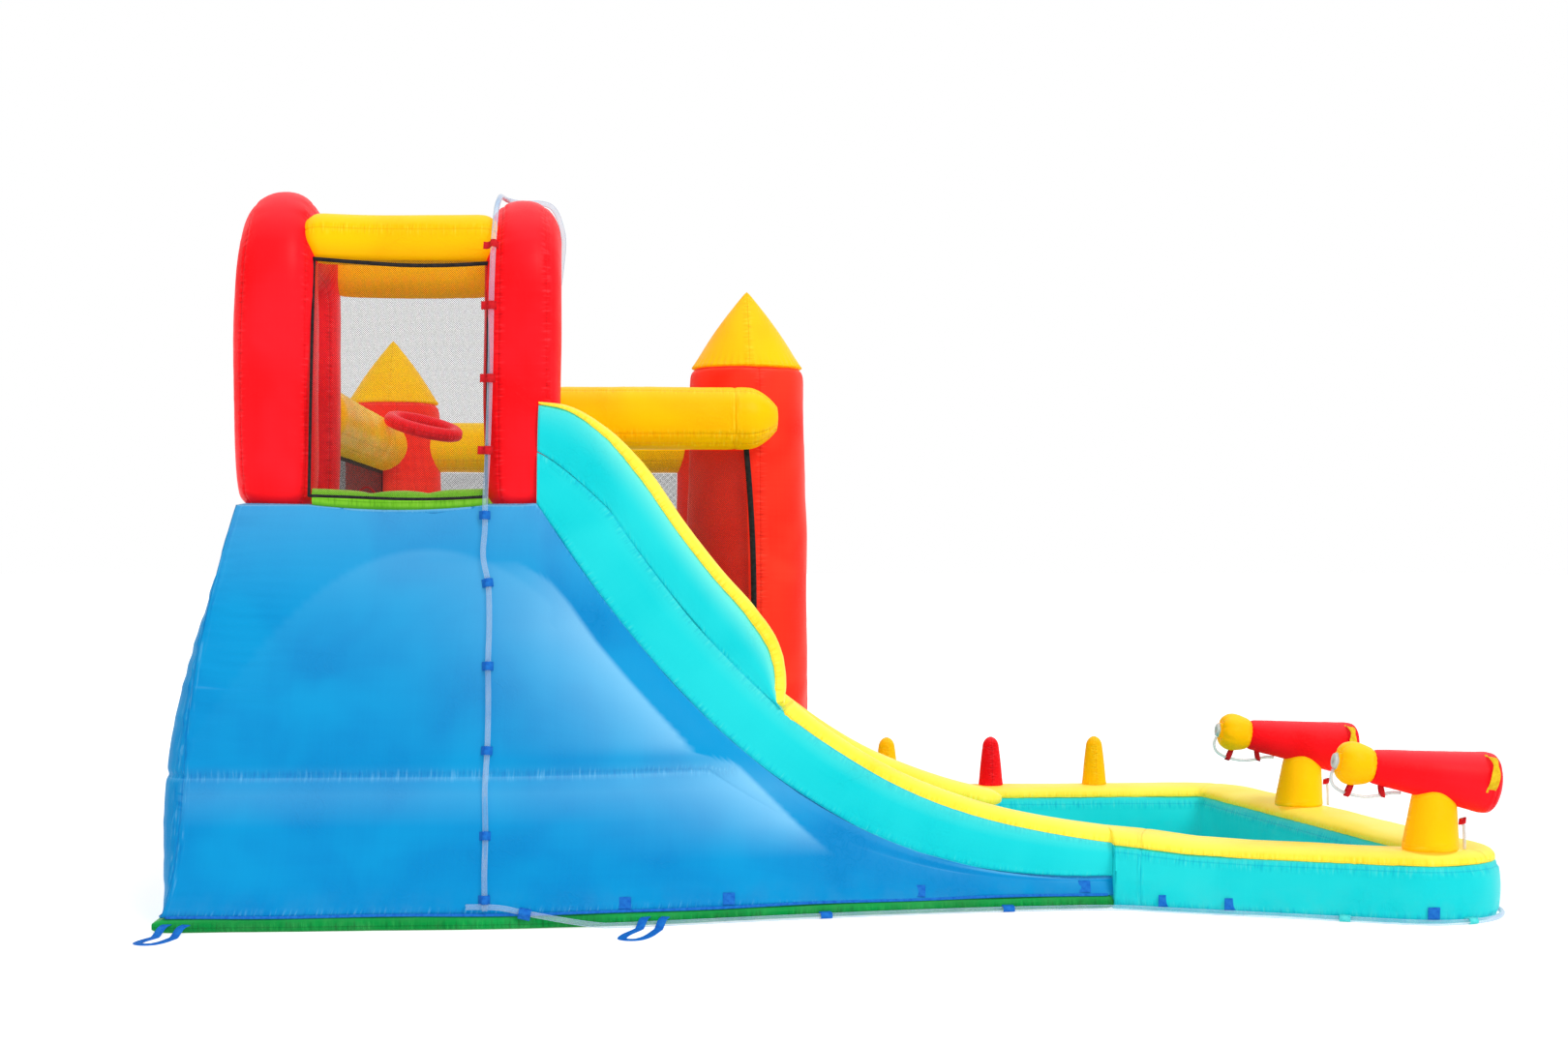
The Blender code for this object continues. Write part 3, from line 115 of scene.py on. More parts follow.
def blendColour(tree, share, first, second):
    return node(tree, "ShaderNodeMix", {0: share, 6: first, 7: second}, data_type="RGBA").outputs[2]


def ranged(tree, value, low, high, toLow=0.0, toHigh=1.0, smooth=True):
    made = node(tree, "ShaderNodeMapRange", {0: value, 1: low, 2: high, 3: toLow, 4: toHigh})
    made.interpolation_type = "SMOOTHSTEP" if smooth else "LINEAR"
    return made.outputs[0]


def noiseOf(tree, vector, scale, detail=3.0, roughness=0.5, distortion=0.0):
    return node(tree, "ShaderNodeTexNoise", {"Vector": vector, "Scale": scale, "Detail": detail,
                                             "Roughness": roughness, "Distortion": distortion}).outputs[0]


def stretched(tree, vector, scale):
    return node(tree, "ShaderNodeMapping", {"Vector": vector, "Scale": scale}).outputs[0]


def newGroup(name, sockets):
    group = bpy.data.node_groups.new(name, "ShaderNodeTree")
    for label, way, kind in sockets:
        group.interface.new_socket(name=label, in_out=way, socket_type="NodeSocket" + kind)
    return group, group.nodes.new("NodeGroupInput"), group.nodes.new("NodeGroupOutput")


def useGroup(tree, group, inputs):
    return node(tree, "ShaderNodeGroup", inputs, node_tree=group)


def principled(name):
    made = bpy.data.materials.new(name)
    made.use_nodes = True
    return made, made.node_tree, made.node_tree.nodes["Principled BSDF"]


def whiteToCamera(tree):
    # The backdrop is plain white to the camera, gloss and glass; other rays get the softer light
    path = node(tree, "ShaderNodeLightPath")
    seen = plus(tree, path.outputs["Is Camera Ray"], path.outputs["Is Glossy Ray"], clamp=True)
    return plus(tree, seen, path.outputs["Is Transmission Ray"], clamp=True)


light = {"world": 0.52, "key": 1.50, "fill": 0.42, "floor": 0.80, "floorGlow": 0.62, "bounce": 0.22}

world = bpy.data.worlds.new("studio")
scene.world = world
world.use_nodes = True
tree = world.node_tree
tree.nodes.clear()
plainWhite = (1.0, 1.0, 1.0, 1.0)
soft = node(tree, "ShaderNodeBackground", {"Color": plainWhite, "Strength": light["world"]})
white = node(tree, "ShaderNodeBackground", {"Color": plainWhite, "Strength": 1.0})
mixed = node(tree, "ShaderNodeMixShader", {0: whiteToCamera(tree), 1: soft.outputs[0], 2: white.outputs[0]})
node(tree, "ShaderNodeOutputWorld", {"Surface": mixed.outputs[0]})


def addSun(name, strength, spread, tilt, heading):
    lamp = bpy.data.lights.new(name, "SUN")
    lamp.energy = strength
    lamp.angle = math.radians(spread)
    item = bpy.data.objects.new(name, lamp)
    item.rotation_euler = (math.radians(tilt), 0.0, math.radians(heading))
    scene.collection.objects.link(item)


addSun("key", light["key"], 24, 50, 34)
addSun("fill", light["fill"], 70, 65, -30)

floorMesh = bpy.data.meshes.new("floor")
floorMesh.from_pydata([(-60, -30, 0), (60, -30, 0), (60, 150, 0), (-60, 150, 0)], [], [(0, 1, 2, 3)])
floor = bpy.data.objects.new("floor", floorMesh)
scene.collection.objects.link(floor)
material, tree, shader = principled("pale floor")
glow = ranged(tree, whiteToCamera(tree), 0.0, 1.0, light["bounce"], light["floorGlow"], smooth=False)
glow = node(tree, "ShaderNodeCombineColor", {0: glow, 1: glow, 2: glow}).outputs[0]
fill(tree, shader, {"Base Color": (light["floor"],) * 3 + (1.0,), "Roughness": 0.9, "Specular IOR Level": 0.0,
                    "Emission Strength": 1.0, "Emission Color": glow})
floorMesh.materials.append(material)
print("camera, lights and floor made")


# effects that several materials share
seamReach = 0.03        # how far from a seam its shading starts


def weaveGroup():
    # Plain weave of coated nylon: over and under threads, and faint streaks along both threads
    group, start, end = newGroup("coated weave", (("Vector", "INPUT", "Vector"), ("Pitch", "INPUT", "Float"),
                                                  ("Height", "OUTPUT", "Float"), ("Streak", "OUTPUT", "Float")))
    parts = node(group, "ShaderNodeSeparateXYZ", {0: start.outputs["Vector"]})
    turns = calc(group, "DIVIDE", math.pi, start.outputs["Pitch"])
    warp, weft = (calc(group, "SINE", times(group, parts.outputs[k], turns)) for k in (0, 1))
    group.links.new(times(group, warp, weft), end.inputs["Height"])
    first, second = (noiseOf(group, stretched(group, start.outputs["Vector"], scale), 1.0, 2.0)
                     for scale in ((95.0, 2.2, 1.0), (1.6, 80.0, 1.0)))
    group.links.new(times(group, plus(group, first, second), 0.5), end.inputs["Streak"])
    return group


def creaseGroup():
    # Shallow dents and soft folds of a skin held up by air
    group, start, end = newGroup("air skin creases", (("Vector", "INPUT", "Vector"), ("Scale", "INPUT", "Float"),
                                                      ("Height", "OUTPUT", "Float"), ("Tone", "OUTPUT", "Float")))
    wide = noiseOf(group, start.outputs["Vector"], start.outputs["Scale"], 2.0, 0.45, 0.4)
    finer = times(group, start.outputs["Scale"], 6.5)
    small = noiseOf(group, start.outputs["Vector"], finer, 3.0, 0.55, 1.2)
    ridge = calc(group, "ABSOLUTE", calc(group, "SUBTRACT", small, 0.5))
    ridge = times(group, ranged(group, ridge, 0.0, 0.06, 1.0, 0.0), ranged(group, wide, 0.5, 0.75))
    group.links.new(plus(group, times(group, wide, 0.8), times(group, ridge, 0.12)), end.inputs["Height"])
    group.links.new(wide, end.inputs["Tone"])
    return group


def seamGroup():
    # Line of a sewn seam: "Near" runs from 0, 30 mm away, to 1 on the seam itself
    group, start, end = newGroup("sewn seam", (("Near", "INPUT", "Float"), ("Width", "INPUT", "Float"),
                                               ("Line", "OUTPUT", "Float"), ("Shade", "OUTPUT", "Float")))
    away = times(group, calc(group, "SUBTRACT", 1.0, start.outputs["Near"]), seamReach)
    line = calc(group, "SUBTRACT", 1.0, calc(group, "DIVIDE", away, start.outputs["Width"]), clamp=True)
    group.links.new(ranged(group, line, 0.0, 0.6), end.inputs["Line"])
    group.links.new(ranged(group, start.outputs["Near"], 0.35, 1.0), end.inputs["Shade"])
    return group


def dustGroup():
    # Dust that the lowest few centimetres pick up from the ground
    group, start, end = newGroup("ground dust", (("Vector", "INPUT", "Vector"), ("Top", "INPUT", "Float"),
                                                 ("Mask", "OUTPUT", "Float")))
    parts = node(group, "ShaderNodeSeparateXYZ", {0: start.outputs["Vector"]})
    patchy = noiseOf(group, start.outputs["Vector"], 14.0, 5.0, 0.65)
    height = calc(group, "DIVIDE", parts.outputs[2], start.outputs["Top"])
    low = ranged(group, height, 0.0, 1.0, 1.0, 0.0)
    group.links.new(times(group, low, ranged(group, patchy, 0.35, 0.75)), end.inputs["Mask"])
    return group


weave, creases, seams, dust = weaveGroup(), creaseGroup(), seamGroup(), dustGroup()

fabricLooks = {
    "red fabric": {"colour": (250, 26, 38), "deep": (236, 8, 18), "seam": (170, 4, 14), "pale": (255, 90, 100)},
    "tower red fabric": {"colour": (250, 58, 38), "deep": (242, 34, 18), "seam": (190, 20, 10),
                         "pale": (255, 110, 86)},
    "yellow fabric": {"colour": (255, 194, 0), "deep": (250, 178, 0), "seam": (222, 150, 0),
                      "pale": (255, 236, 80)},
    "rim yellow fabric": {"colour": (250, 230, 74), "deep": (248, 214, 50), "seam": (236, 186, 20),
                          "pale": (250, 244, 128)},
    "blue fabric": {"colour": (2, 140, 196), "deep": (0, 122, 184), "seam": (0, 90, 170), "pale": (140, 204, 236)},
    "cyan fabric": {"colour": (30, 203, 206), "deep": (8, 194, 200), "seam": (4, 158, 190),
                    "pale": (110, 222, 208)},
    "platform green fabric": {"colour": (142, 216, 54), "deep": (118, 200, 40), "seam": (74, 150, 24),
                              "pale": (184, 226, 110)},
    "mat green fabric": {"colour": (0, 148, 66), "deep": (0, 122, 50), "seam": (0, 84, 34), "pale": (60, 190, 90)},
}
fabricUse = {"weavePitch": 0.0011, "creaseScale": 3.2, "seamWidth": 0.0026, "seamShade": 0.16, "seamLine": 0.34,
             "foldPaintedShade": 0.5, "foldPaintedHighlight": 0.22, "paintedTopSheen": 0.34, "dustTop": 0.16, "dust": 0.05, "through": 0.24,
             "specular": 0.08, "threadBump": 0.00004, "creaseBump": 0.0075, "seamBump": 0.0008, "foldBump": 0.0055}
dustColour = (168, 160, 146)


def fabric(name, look):
    made, tree, shader = principled(name)
    use = fabricUse
    cloth = node(tree, "ShaderNodeUVMap", uv_map="cloth").outputs[0]
    place = node(tree, "ShaderNodeTexCoord").outputs["Object"]
    threads = useGroup(tree, weave, {"Vector": cloth, "Pitch": use["weavePitch"]})
    folds = useGroup(tree, creases, {"Vector": place, "Scale": use["creaseScale"]})
    near = node(tree, "ShaderNodeAttribute", attribute_name="near").outputs["Fac"]
    glow = node(tree, "ShaderNodeAttribute", attribute_name="glow").outputs["Fac"]
    seam = useGroup(tree, seams, {"Near": near, "Width": use["seamWidth"]})
    dusty = useGroup(tree, dust, {"Vector": place, "Top": use["dustTop"]}).outputs["Mask"]

    def tinted(colour, share, target):
        return blendColour(tree, share, colour, srgb(*target))

    tone = plus(tree, times(tree, folds.outputs["Tone"], 0.9), times(tree, threads.outputs["Streak"], 0.14))
    colour = tinted(srgb(*look["colour"]), ranged(tree, tone, 0.30, 0.78), look["deep"])
    colour = tinted(colour, times(tree, seam.outputs["Shade"], use["seamShade"]), look["deep"])
    # fine folds pulled in by the seam's thread: a bump, plus painted shade and painted highlight along the folds
    fold = noiseOf(tree, stretched(tree, cloth, (14.0, 105.0, 1.0)), 1.0, 2.0, 0.6)
    pull = ranged(tree, near, 0.05, 0.85)
    colour = tinted(colour, times(tree, pull, ranged(tree, fold, 0.5, 0.72, 0.0, use["foldPaintedShade"])), look["seam"])
    colour = tinted(colour, times(tree, pull, ranged(tree, fold, 0.3, 0.48, use["foldPaintedHighlight"], 0.0)), look["pale"])
    # painted light: the colour goes towards the pale tint where the skin faces up, a painted sheen from light
    # above, and where the glow attribute paints light through the skin
    normal = node(tree, "ShaderNodeNewGeometry").outputs["Normal"]
    facing = node(tree, "ShaderNodeSeparateXYZ", {0: normal}).outputs[2]
    pale = plus(tree, glow, ranged(tree, facing, 0.35, 1.0, 0.0, use["paintedTopSheen"]), clamp=True)
    colour = tinted(colour, pale, look["pale"])
    colour = tinted(colour, times(tree, seam.outputs["Line"], use["seamLine"]), look["seam"])
    colour = tinted(colour, times(tree, dusty, use["dust"]), dustColour)
    rough = plus(tree, ranged(tree, folds.outputs["Tone"], 0.3, 0.75, 0.36, 0.48), times(tree, dusty, 0.25))
    height = plus(tree, times(tree, threads.outputs["Height"], use["threadBump"]),
                  times(tree, folds.outputs["Height"], use["creaseBump"]))
    height = calc(tree, "SUBTRACT", height, times(tree, seam.outputs["Line"], use["seamBump"]))
    height = plus(tree, height, times(tree, times(tree, pull, fold), use["foldBump"]))
    bump = node(tree, "ShaderNodeBump", {"Strength": 0.85, "Distance": 1.0, "Height": height})
    # daylight inside the air chambers comes through the thin skin as emission
    fill(tree, shader, {"Base Color": colour, "Emission Color": colour, "Emission Strength": use["through"],
                        "Roughness": rough, "Specular IOR Level": use["specular"], "Normal": bump.outputs[0]})
    return made


looks = {name: fabric(name, look) for name, look in fabricLooks.items()}


def webbingLook(name, colour, deep, rib=0.0016):
    # Woven tape: ribs across it and along it
    made, tree, shader = principled(name)
    cloth = node(tree, "ShaderNodeUVMap", uv_map="cloth").outputs[0]
    parts = node(tree, "ShaderNodeSeparateXYZ", {0: cloth})
    ribs = calc(tree, "SINE", times(tree, parts.outputs[1], 2 * math.pi / rib))
    cross = calc(tree, "SINE", times(tree, parts.outputs[0], 2 * math.pi / (rib * 1.7)))
    cloud = noiseOf(tree, cloth, 60.0, 4.0, 0.6)
    colour = blendColour(tree, ranged(tree, cloud, 0.35, 0.7), srgb(*colour), srgb(*deep))
    colour = blendColour(tree, ranged(tree, ribs, 0.4, 1.0, 0.0, 0.22), colour, srgb(*deep))
    height = plus(tree, times(tree, ribs, 0.00018), times(tree, cross, 0.0001))
    bump = node(tree, "ShaderNodeBump", {"Strength": 1.0, "Distance": 1.0, "Height": height})
    fill(tree, shader, {"Base Color": colour, "Roughness": ranged(tree, cloud, 0.3, 0.7, 0.62, 0.8),
                        "Specular IOR Level": 0.25, "Normal": bump.outputs[0]})
    return made


for name, colour, deep, rib in (("blue webbing", (20, 124, 216), (8, 98, 200), 0.0016),
                                ("red webbing", (226, 22, 34), (190, 8, 20), 0.0016),
                                ("yellow webbing", (255, 214, 30), (236, 186, 10), 0.0016),
                                ("cyan webbing", (96, 236, 234), (60, 214, 220), 0.0016),
                                ("black binding", (30, 30, 32), (12, 12, 14), 0.0022)):
    looks[name] = webbingLook(name, colour, deep, rib)


def netLook(name, pitch, thread):
    # Knitted net: two sets of slanting threads, open between them
    made, tree, shader = principled(name)
    cloth = node(tree, "ShaderNodeUVMap", uv_map="cloth").outputs[0]
    parts = node(tree, "ShaderNodeSeparateXYZ", {0: cloth})
    threads = [times(tree, calc(tree, way, parts.outputs[0], parts.outputs[1]), math.pi / pitch)
               for way in ("ADD", "SUBTRACT")]
    first, second = (calc(tree, "ABSOLUTE", calc(tree, "SINE", turn)) for turn in threads)
    nearest = calc(tree, "MINIMUM", first, second)
    # its round threads close up where the net is seen from the side
    slant = node(tree, "ShaderNodeLayerWeight", {"Blend": 0.5}).outputs["Facing"]
    wide = ranged(tree, slant, 0.45, 0.95, thread, thread + 0.55)
    solid = ranged(tree, calc(tree, "SUBTRACT", nearest, wide), -0.06, 0.06, 1.0, 0.0)
    # most of the light passes between the threads
    shadow = node(tree, "ShaderNodeLightPath").outputs["Is Shadow Ray"]
    cloud = noiseOf(tree, cloth, 40.0, 3.0)
    height = times(tree, nearest, -0.0006)
    bump = node(tree, "ShaderNodeBump", {"Strength": 0.8, "Distance": 1.0, "Height": height})
    fill(tree, shader, {
        "Alpha": times(tree, solid, ranged(tree, shadow, 0.0, 1.0, 1.0, 0.2)),
        "Base Color": blendColour(tree, ranged(tree, cloud, 0.3, 0.7), srgb(22, 22, 24), srgb(38, 38, 42)),
        "Roughness": ranged(tree, cloud, 0.3, 0.7, 0.6, 0.8), "Specular IOR Level": 0.2,
        "Normal": bump.outputs[0]})
    return made


looks["black netting"] = netLook("black netting", 0.0072, 0.29)


def plasticLook(name, colour, deep, rough, solid=1.0):
    made, tree, shader = principled(name)
    place = node(tree, "ShaderNodeTexCoord").outputs["Object"]
    wide = noiseOf(tree, place, 9.0, 2.0)
    colour = blendColour(tree, ranged(tree, wide, 0.35, 0.7), srgb(*colour), srgb(*deep))
    fill(tree, shader, {"Base Color": colour, "Roughness": ranged(tree, wide, 0.3, 0.7, rough, rough + 0.08),
                        "IOR": 1.42})
    if solid < 1.0:
        # a clear tube shows its wall at both edges
        rim = node(tree, "ShaderNodeLayerWeight", {"Blend": 0.5}).outputs["Facing"]
        fill(tree, shader, {"Alpha": ranged(tree, rim, 0.25, 0.85, solid, 0.9)})
    return made


looks["clear hose"] = plasticLook("clear hose", (206, 226, 246), (176, 206, 238), 0.12, 0.22)
looks["clear tube"] = plasticLook("clear tube", (232, 236, 236), (208, 216, 220), 0.12, 0.60)
looks["grey plastic"] = plasticLook("grey plastic", (214, 218, 216), (190, 196, 196), 0.3)
print("materials made:", len(looks))


# skins from grids of points
def measure(points, closed=False):
    # Distance along a row of points, as the mean of all its strands
    ends = np.concatenate((points, points[:1])) if closed else points
    step = np.linalg.norm(np.diff(ends, axis=0), axis=-1)
    step = step.reshape(len(step), -1).mean(axis=1)
    return np.concatenate(([0.0], np.cumsum(step)))


def curveAt(points, knots, places, closed=False):
    # Smooth curve through points (each may be a whole strand), read at places measured along it
    points = np.asarray(points, float)
    if closed:
        total = knots[-1]
        points = np.concatenate((points[-1:], points, points[:2]))
        knots = np.concatenate(([knots[-2] - total], knots, [total + knots[1]]))
    shape = (-1,) + (1,) * (points.ndim - 1)
    span = np.maximum(np.diff(knots), 1e-9)
    wide = span.reshape(shape)
    slope = np.diff(points, axis=0) / wide
    tangent = np.empty_like(points)
    tangent[1:-1] = (wide[1:] * slope[:-1] + wide[:-1] * slope[1:]) / (wide[1:] + wide[:-1])
    tangent[0], tangent[-1] = slope[0], slope[-1]
    index = np.clip(np.searchsorted(knots, places, side="right") - 1, 0, len(span) - 1)
    t = ((places - knots[index]) / span[index]).reshape(shape)
    h = span[index].reshape(shape)
    return ((2 * t ** 3 - 3 * t ** 2 + 1) * points[index] + (t ** 3 - 2 * t ** 2 + t) * h * tangent[index]
            + (3 * t ** 2 - 2 * t ** 3) * points[index + 1] + (t ** 3 - t ** 2) * h * tangent[index + 1])


def curve(points, step, closed=False):
    points = np.asarray(points, float)
    knots = measure(points, closed)
    count = max(int(round(knots[-1] / step)), 2)
    places = np.linspace(0, knots[-1], count + 1)
    return curveAt(points, knots, places[:-1] if closed else places, closed)


def spread(total, step, marks=(), closed=False, beside=(0.004, 0.011)):
    # Even places along a length, with each mark kept and closer places beside it
    kept = []
    for mark in marks:
        for shift in (0.0,) + tuple(beside) + tuple(-v for v in beside):
            place = mark + shift
            place = place % total if closed else place
            if 0.0 <= place <= total:
                kept.append(place)
    count = max(int(round(total / step)), 2)
    even = np.linspace(0, total, count + 1)
    even = even[:-1] if closed else even
    clear = max(beside) + step * 0.45 if marks else 0.0
    for place in even:
        away = [abs(place - m) for m in marks]
        if closed:
            away += [total - v for v in away]
        if not closed and place in (even[0], even[-1]) and all(v > 1e-6 for v in away):
            kept.append(place)
        elif all(v > clear for v in away):
            kept.append(place)
    places = np.array(sorted(set(round(float(v), 7) for v in kept)))
    return places, [int(np.argmin(abs(places - m))) for m in marks]


def noise2(x, y, seed):
    # Smooth random field from -1 to 1, one cell per unit
    table = np.random.RandomState(seed).rand(64, 64) * 2 - 1
    xi, yi = np.floor(x).astype(int), np.floor(y).astype(int)
    fx, fy = x - xi, y - yi
    fx, fy = fx * fx * (3 - 2 * fx), fy * fy * (3 - 2 * fy)
    a, b = table[xi % 64, yi % 64], table[(xi + 1) % 64, yi % 64]
    c, d = table[xi % 64, (yi + 1) % 64], table[(xi + 1) % 64, (yi + 1) % 64]
    return (a * (1 - fx) + b * fx) * (1 - fy) + (c * (1 - fx) + d * fx) * fy


def crossOf(grid, wrapU, wrapV):
    first = np.roll(grid, -1, 0) - np.roll(grid, 1, 0) if wrapU else np.gradient(grid, axis=0)
    second = np.roll(grid, -1, 1) - np.roll(grid, 1, 1) if wrapV else np.gradient(grid, axis=1)
    return np.cross(first, second)


def normalsOf(grid, wrapU, wrapV, facing=None):
    cross = crossOf(grid, wrapU, wrapV)
    if facing is None:
        centre = grid.reshape(-1, 3).mean(0)
        side = 1.0 if ((grid - centre) * cross).sum() > 0 else -1.0
    else:
        side = 1.0 if (cross.reshape(-1, 3).sum(0) * np.array(facing)).sum() > 0 else -1.0
    return side * cross / np.maximum(np.linalg.norm(cross, axis=-1, keepdims=True), 1e-12), side


def distanceTo(places, marks, total=None):
    if not len(marks):
        return np.full(len(places), 9.0)
    away = np.abs(places[:, None] - places[list(marks)][None, :])
    if total is not None:
        away = np.minimum(away, total - away)
    return away.min(axis=1)


def unit(vectors):
    return vectors / np.maximum(np.linalg.norm(vectors, axis=-1, keepdims=True), 1e-9)


pucker = {"gather": 0.0035, "pitch": 0.026, "reach": 0.045, "groove": 0.004, "dent": 0.003, "seed": 1}


def puckered(grid, wrapU, wrapV, seamRows, seamColumns, settings, facing=None, shape=None):
    # Sewn seams pinch the skin in, and gather it into small folds square to the seam
    use = dict(pucker, **settings)
    normal, _ = normalsOf(grid, wrapU, wrapV, facing)
    rows, columns = grid.shape[:2]
    along = measure(grid, wrapU)
    around = measure(np.swapaxes(grid, 0, 1), wrapV)
    s, t = along[:rows], around[:columns]
    toRow = distanceTo(s, seamRows, along[-1] if wrapU else None)[:, None] * np.ones((1, columns))
    toColumn = distanceTo(t, seamColumns, around[-1] if wrapV else None)[None, :] * np.ones((rows, 1))
    sGrid, tGrid = s[:, None] + 0 * t[None, :], t[None, :] + 0 * s[:, None]
    seed = use["seed"] * 10

    def gathers(place, away, other, number):
        rise = (1 - np.exp(-away / 0.007)) * np.exp(-away / use["reach"])
        fan = place / use["pitch"] + 0.8 * noise2(other / 0.10, place / 0.16, number + 3)
        folds = noise2(fan, away / (use["reach"] * 2.2) + 5 * np.round(other / 0.4), number)
        strength = 0.62 + 0.55 * noise2(place / 0.17, other / 0.3, number + 1)
        return use["gather"] * rise * folds * strength

    lift = gathers(sGrid, toColumn, tGrid, seed) + gathers(tGrid, toRow, sGrid, seed + 5)
    lift -= use["groove"] * (np.exp(-(toColumn / 0.008) ** 1.4) + np.exp(-(toRow / 0.008) ** 1.4))
    lift += use["dent"] * noise2(sGrid / 0.24, tGrid / 0.2, seed + 7)
    if shape is not None:
        lift = lift + shape
    near = 1 - np.minimum(np.minimum(toRow, toColumn) / seamReach, 1)
    return grid + normal * lift[..., None], near


def skin(name, grid, look, wrapU=False, wrapV=True, ends=(True, True), near=None, glow=None, facing=None):
    # Mesh of a grid of points, with its cloth map in metres and its two stored values
    rows, columns = grid.shape[:2]
    i, j = np.meshgrid(np.arange(rows if wrapU else rows - 1), np.arange(columns if wrapV else columns - 1),
                       indexing="ij")
    i, j = i.ravel(), j.ravel()
    below, beyond = (i + 1) % rows, (j + 1) % columns
    quads = np.stack((i * columns + j, i * columns + beyond, below * columns + beyond, below * columns + j), -1)
    along = measure(grid, wrapU)
    around = measure(np.swapaxes(grid, 0, 1), wrapV)
    uv = np.stack([np.stack((around[j + a], along[i + b]), -1) for a, b in ((0, 0), (1, 0), (1, 1), (0, 1))], 1)
    turned = normalsOf(grid, wrapU, wrapV, facing)[1] > 0
    if turned:
        quads, uv = quads[:, ::-1], uv[:, ::-1]
    faces = quads.tolist()
    corners = uv.reshape(-1, 2).tolist()
    if wrapV and not wrapU:
        for wanted, row, back in ((ends[0], 0, turned), (ends[1], rows - 1, not turned)):
            if wanted:
                ring = range(columns) if back else range(columns)[::-1]
                faces.append([row * columns + k for k in ring])
                corners += [(around[k], along[row]) for k in ring]
    mesh = bpy.data.meshes.new(name)
    mesh.from_pydata(grid.reshape(-1, 3).tolist(), [], faces)
    layer = mesh.uv_layers.new(name="cloth")
    layer.data.foreach_set("uv", np.array(corners, dtype=np.float32).ravel())
    for label, values in (("near", near), ("glow", glow)):
        store = mesh.attributes.new(label, "FLOAT", "POINT")
        if values is not None:
            store.data.foreach_set("value", np.asarray(values, dtype=np.float32).ravel())
    mesh.materials.append(looks[look])
    mesh.update()
    mesh.shade_smooth()
    item = bpy.data.objects.new(name, mesh)
    scene.collection.objects.link(item)
    return item


def placed(item, replaces=(), body="castle"):
    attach(item, body)
    if replaces:
        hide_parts(*replaces)
    return item


def domed(grid, bulges, steps=(0.995, 0.93, 0.80, 0.60, 0.36, 0.10)):
    # Rows added at both ends, which close the tube over a soft dome
    extra = []
    for ring, inside, bulge in ((grid[0], grid[1], bulges[0]), (grid[-1], grid[-2], bulges[1])):
        centre = ring.mean(0)
        out = centre - inside.mean(0)
        out = out / np.linalg.norm(out)
        extra.append([centre + (ring - centre) * k + out * bulge * (1 - k ** 2.4) for k in steps])
    return np.concatenate((np.array(extra[0][::-1]), grid, np.array(extra[1]))), len(steps)


def chamber(name, grid, look, replaces=(), body="castle", wrapU=False, wrapV=True, seamRows=(), seamColumns=(),
            dome=None, glow=None, facing=None, shape=None, **settings):
    # An inflated piece: a grid of points, its seams, and the way that it puckers
    rows = list(seamRows)
    if dome is not None:
        grid, added = domed(grid, dome)
        rows = [row + added for row in rows]
        shape = None if shape is None else np.pad(shape, ((added, added), (0, 0)), mode="edge")
        glow = None if glow is None else np.pad(glow, ((added, added), (0, 0)), mode="edge")
    moved, near = puckered(grid, wrapU, wrapV, rows, list(seamColumns), settings, facing, shape)
    moved[..., 2] = np.maximum(moved[..., 2], 0.0005)
    item = skin(name, moved, look, wrapU, wrapV, (True, True), near, glow, facing)
    placed(item, replaces, body)


def superRing(angles, width, height, power):
    c, s = np.cos(angles), np.sin(angles)
    return (width / 2 * np.sign(c) * np.abs(c) ** (2 / power), height / 2 * np.sign(s) * np.abs(s) ** (2 / power))


def anglesFor(girth, step, seamDegrees):
    places, marks = spread(girth, step, [d / 360 * girth for d in seamDegrees], closed=True)
    return places / girth * 2 * math.pi, marks


def turnsOf(count):
    return np.linspace(0, 2 * math.pi, count, endpoint=False)


def insetOf(side, radius):
    # How far a corner rounded to a radius draws in, at a distance from the side
    return radius - math.sqrt(max(radius ** 2 - max(radius - side, 0.0) ** 2, 0.0)) if side < radius else 0.0


def tapeGrid(line, side, width, thickness, shoulder):
    normal = unit(np.cross(np.gradient(line, axis=0), side))
    face = ((-0.5, -0.3), (-shoulder, -0.5), (0.0, -0.5), (shoulder, -0.5), (0.5, -0.3))
    rim = face + tuple((-a, -b) for a, b in face)
    return np.stack([line + side * a * width + normal * b * thickness for a, b in rim], 1)


def ribbon(name, path, across, width, thickness, look, replaces=(), body="castle", step=0.012):
    # Flat tape along a path; across is its width's direction, one vector or one per point
    path = np.asarray(path, float)
    knots = measure(path)
    places = np.linspace(0, knots[-1], max(int(knots[-1] / step), 4) + 1)
    line = curveAt(path, knots, places)
    side = unit(curveAt(np.broadcast_to(np.asarray(across, float), path.shape), knots, places))
    return placed(skin(name, tapeGrid(line, side, width, thickness, 0.47), look), replaces, body)


def ribbonPlain(name, path, across, width, thickness, look, widths=None):
    # Small tape that isn't a piece yet; widths scale it along its path
    path = np.asarray(path, float)
    across = np.asarray(across, float) / np.linalg.norm(across)
    knots = measure(path)
    places = np.linspace(0, knots[-1], max(int(knots[-1] / 0.005), 8) + 1)
    scale = np.ones(len(places)) if widths is None else np.interp(places, knots, widths)
    grid = tapeGrid(curveAt(path, knots, places), across, width * scale[:, None], thickness, 0.46)
    return skin(name, grid, look)


def hose(name, path, radius, look, replaces=(), body="castle", step=0.012, smooth=True):
    line = curve(path, step) if smooth else np.asarray(path, float)
    ahead = unit(np.gradient(line, axis=0))
    side = np.cross(ahead[0], (0.31, 0.83, 0.46))
    rings = []
    for place, way in zip(line, ahead):
        side = unit(side - way * side.dot(way))
        other = np.cross(way, side)
        rings.append([place + radius * (side * math.cos(a) + other * math.sin(a)) for a in turnsOf(12)])
    return placed(skin(name, np.array(rings), look), replaces, body)


def joined(name, items):
    # Small pieces of one kind become one object
    bpy.ops.object.select_all(action="DESELECT")
    for item in items:
        item.select_set(True)
    bpy.context.view_layer.objects.active = items[0]
    bpy.ops.object.join()
    items[0].name = name
    return items[0]


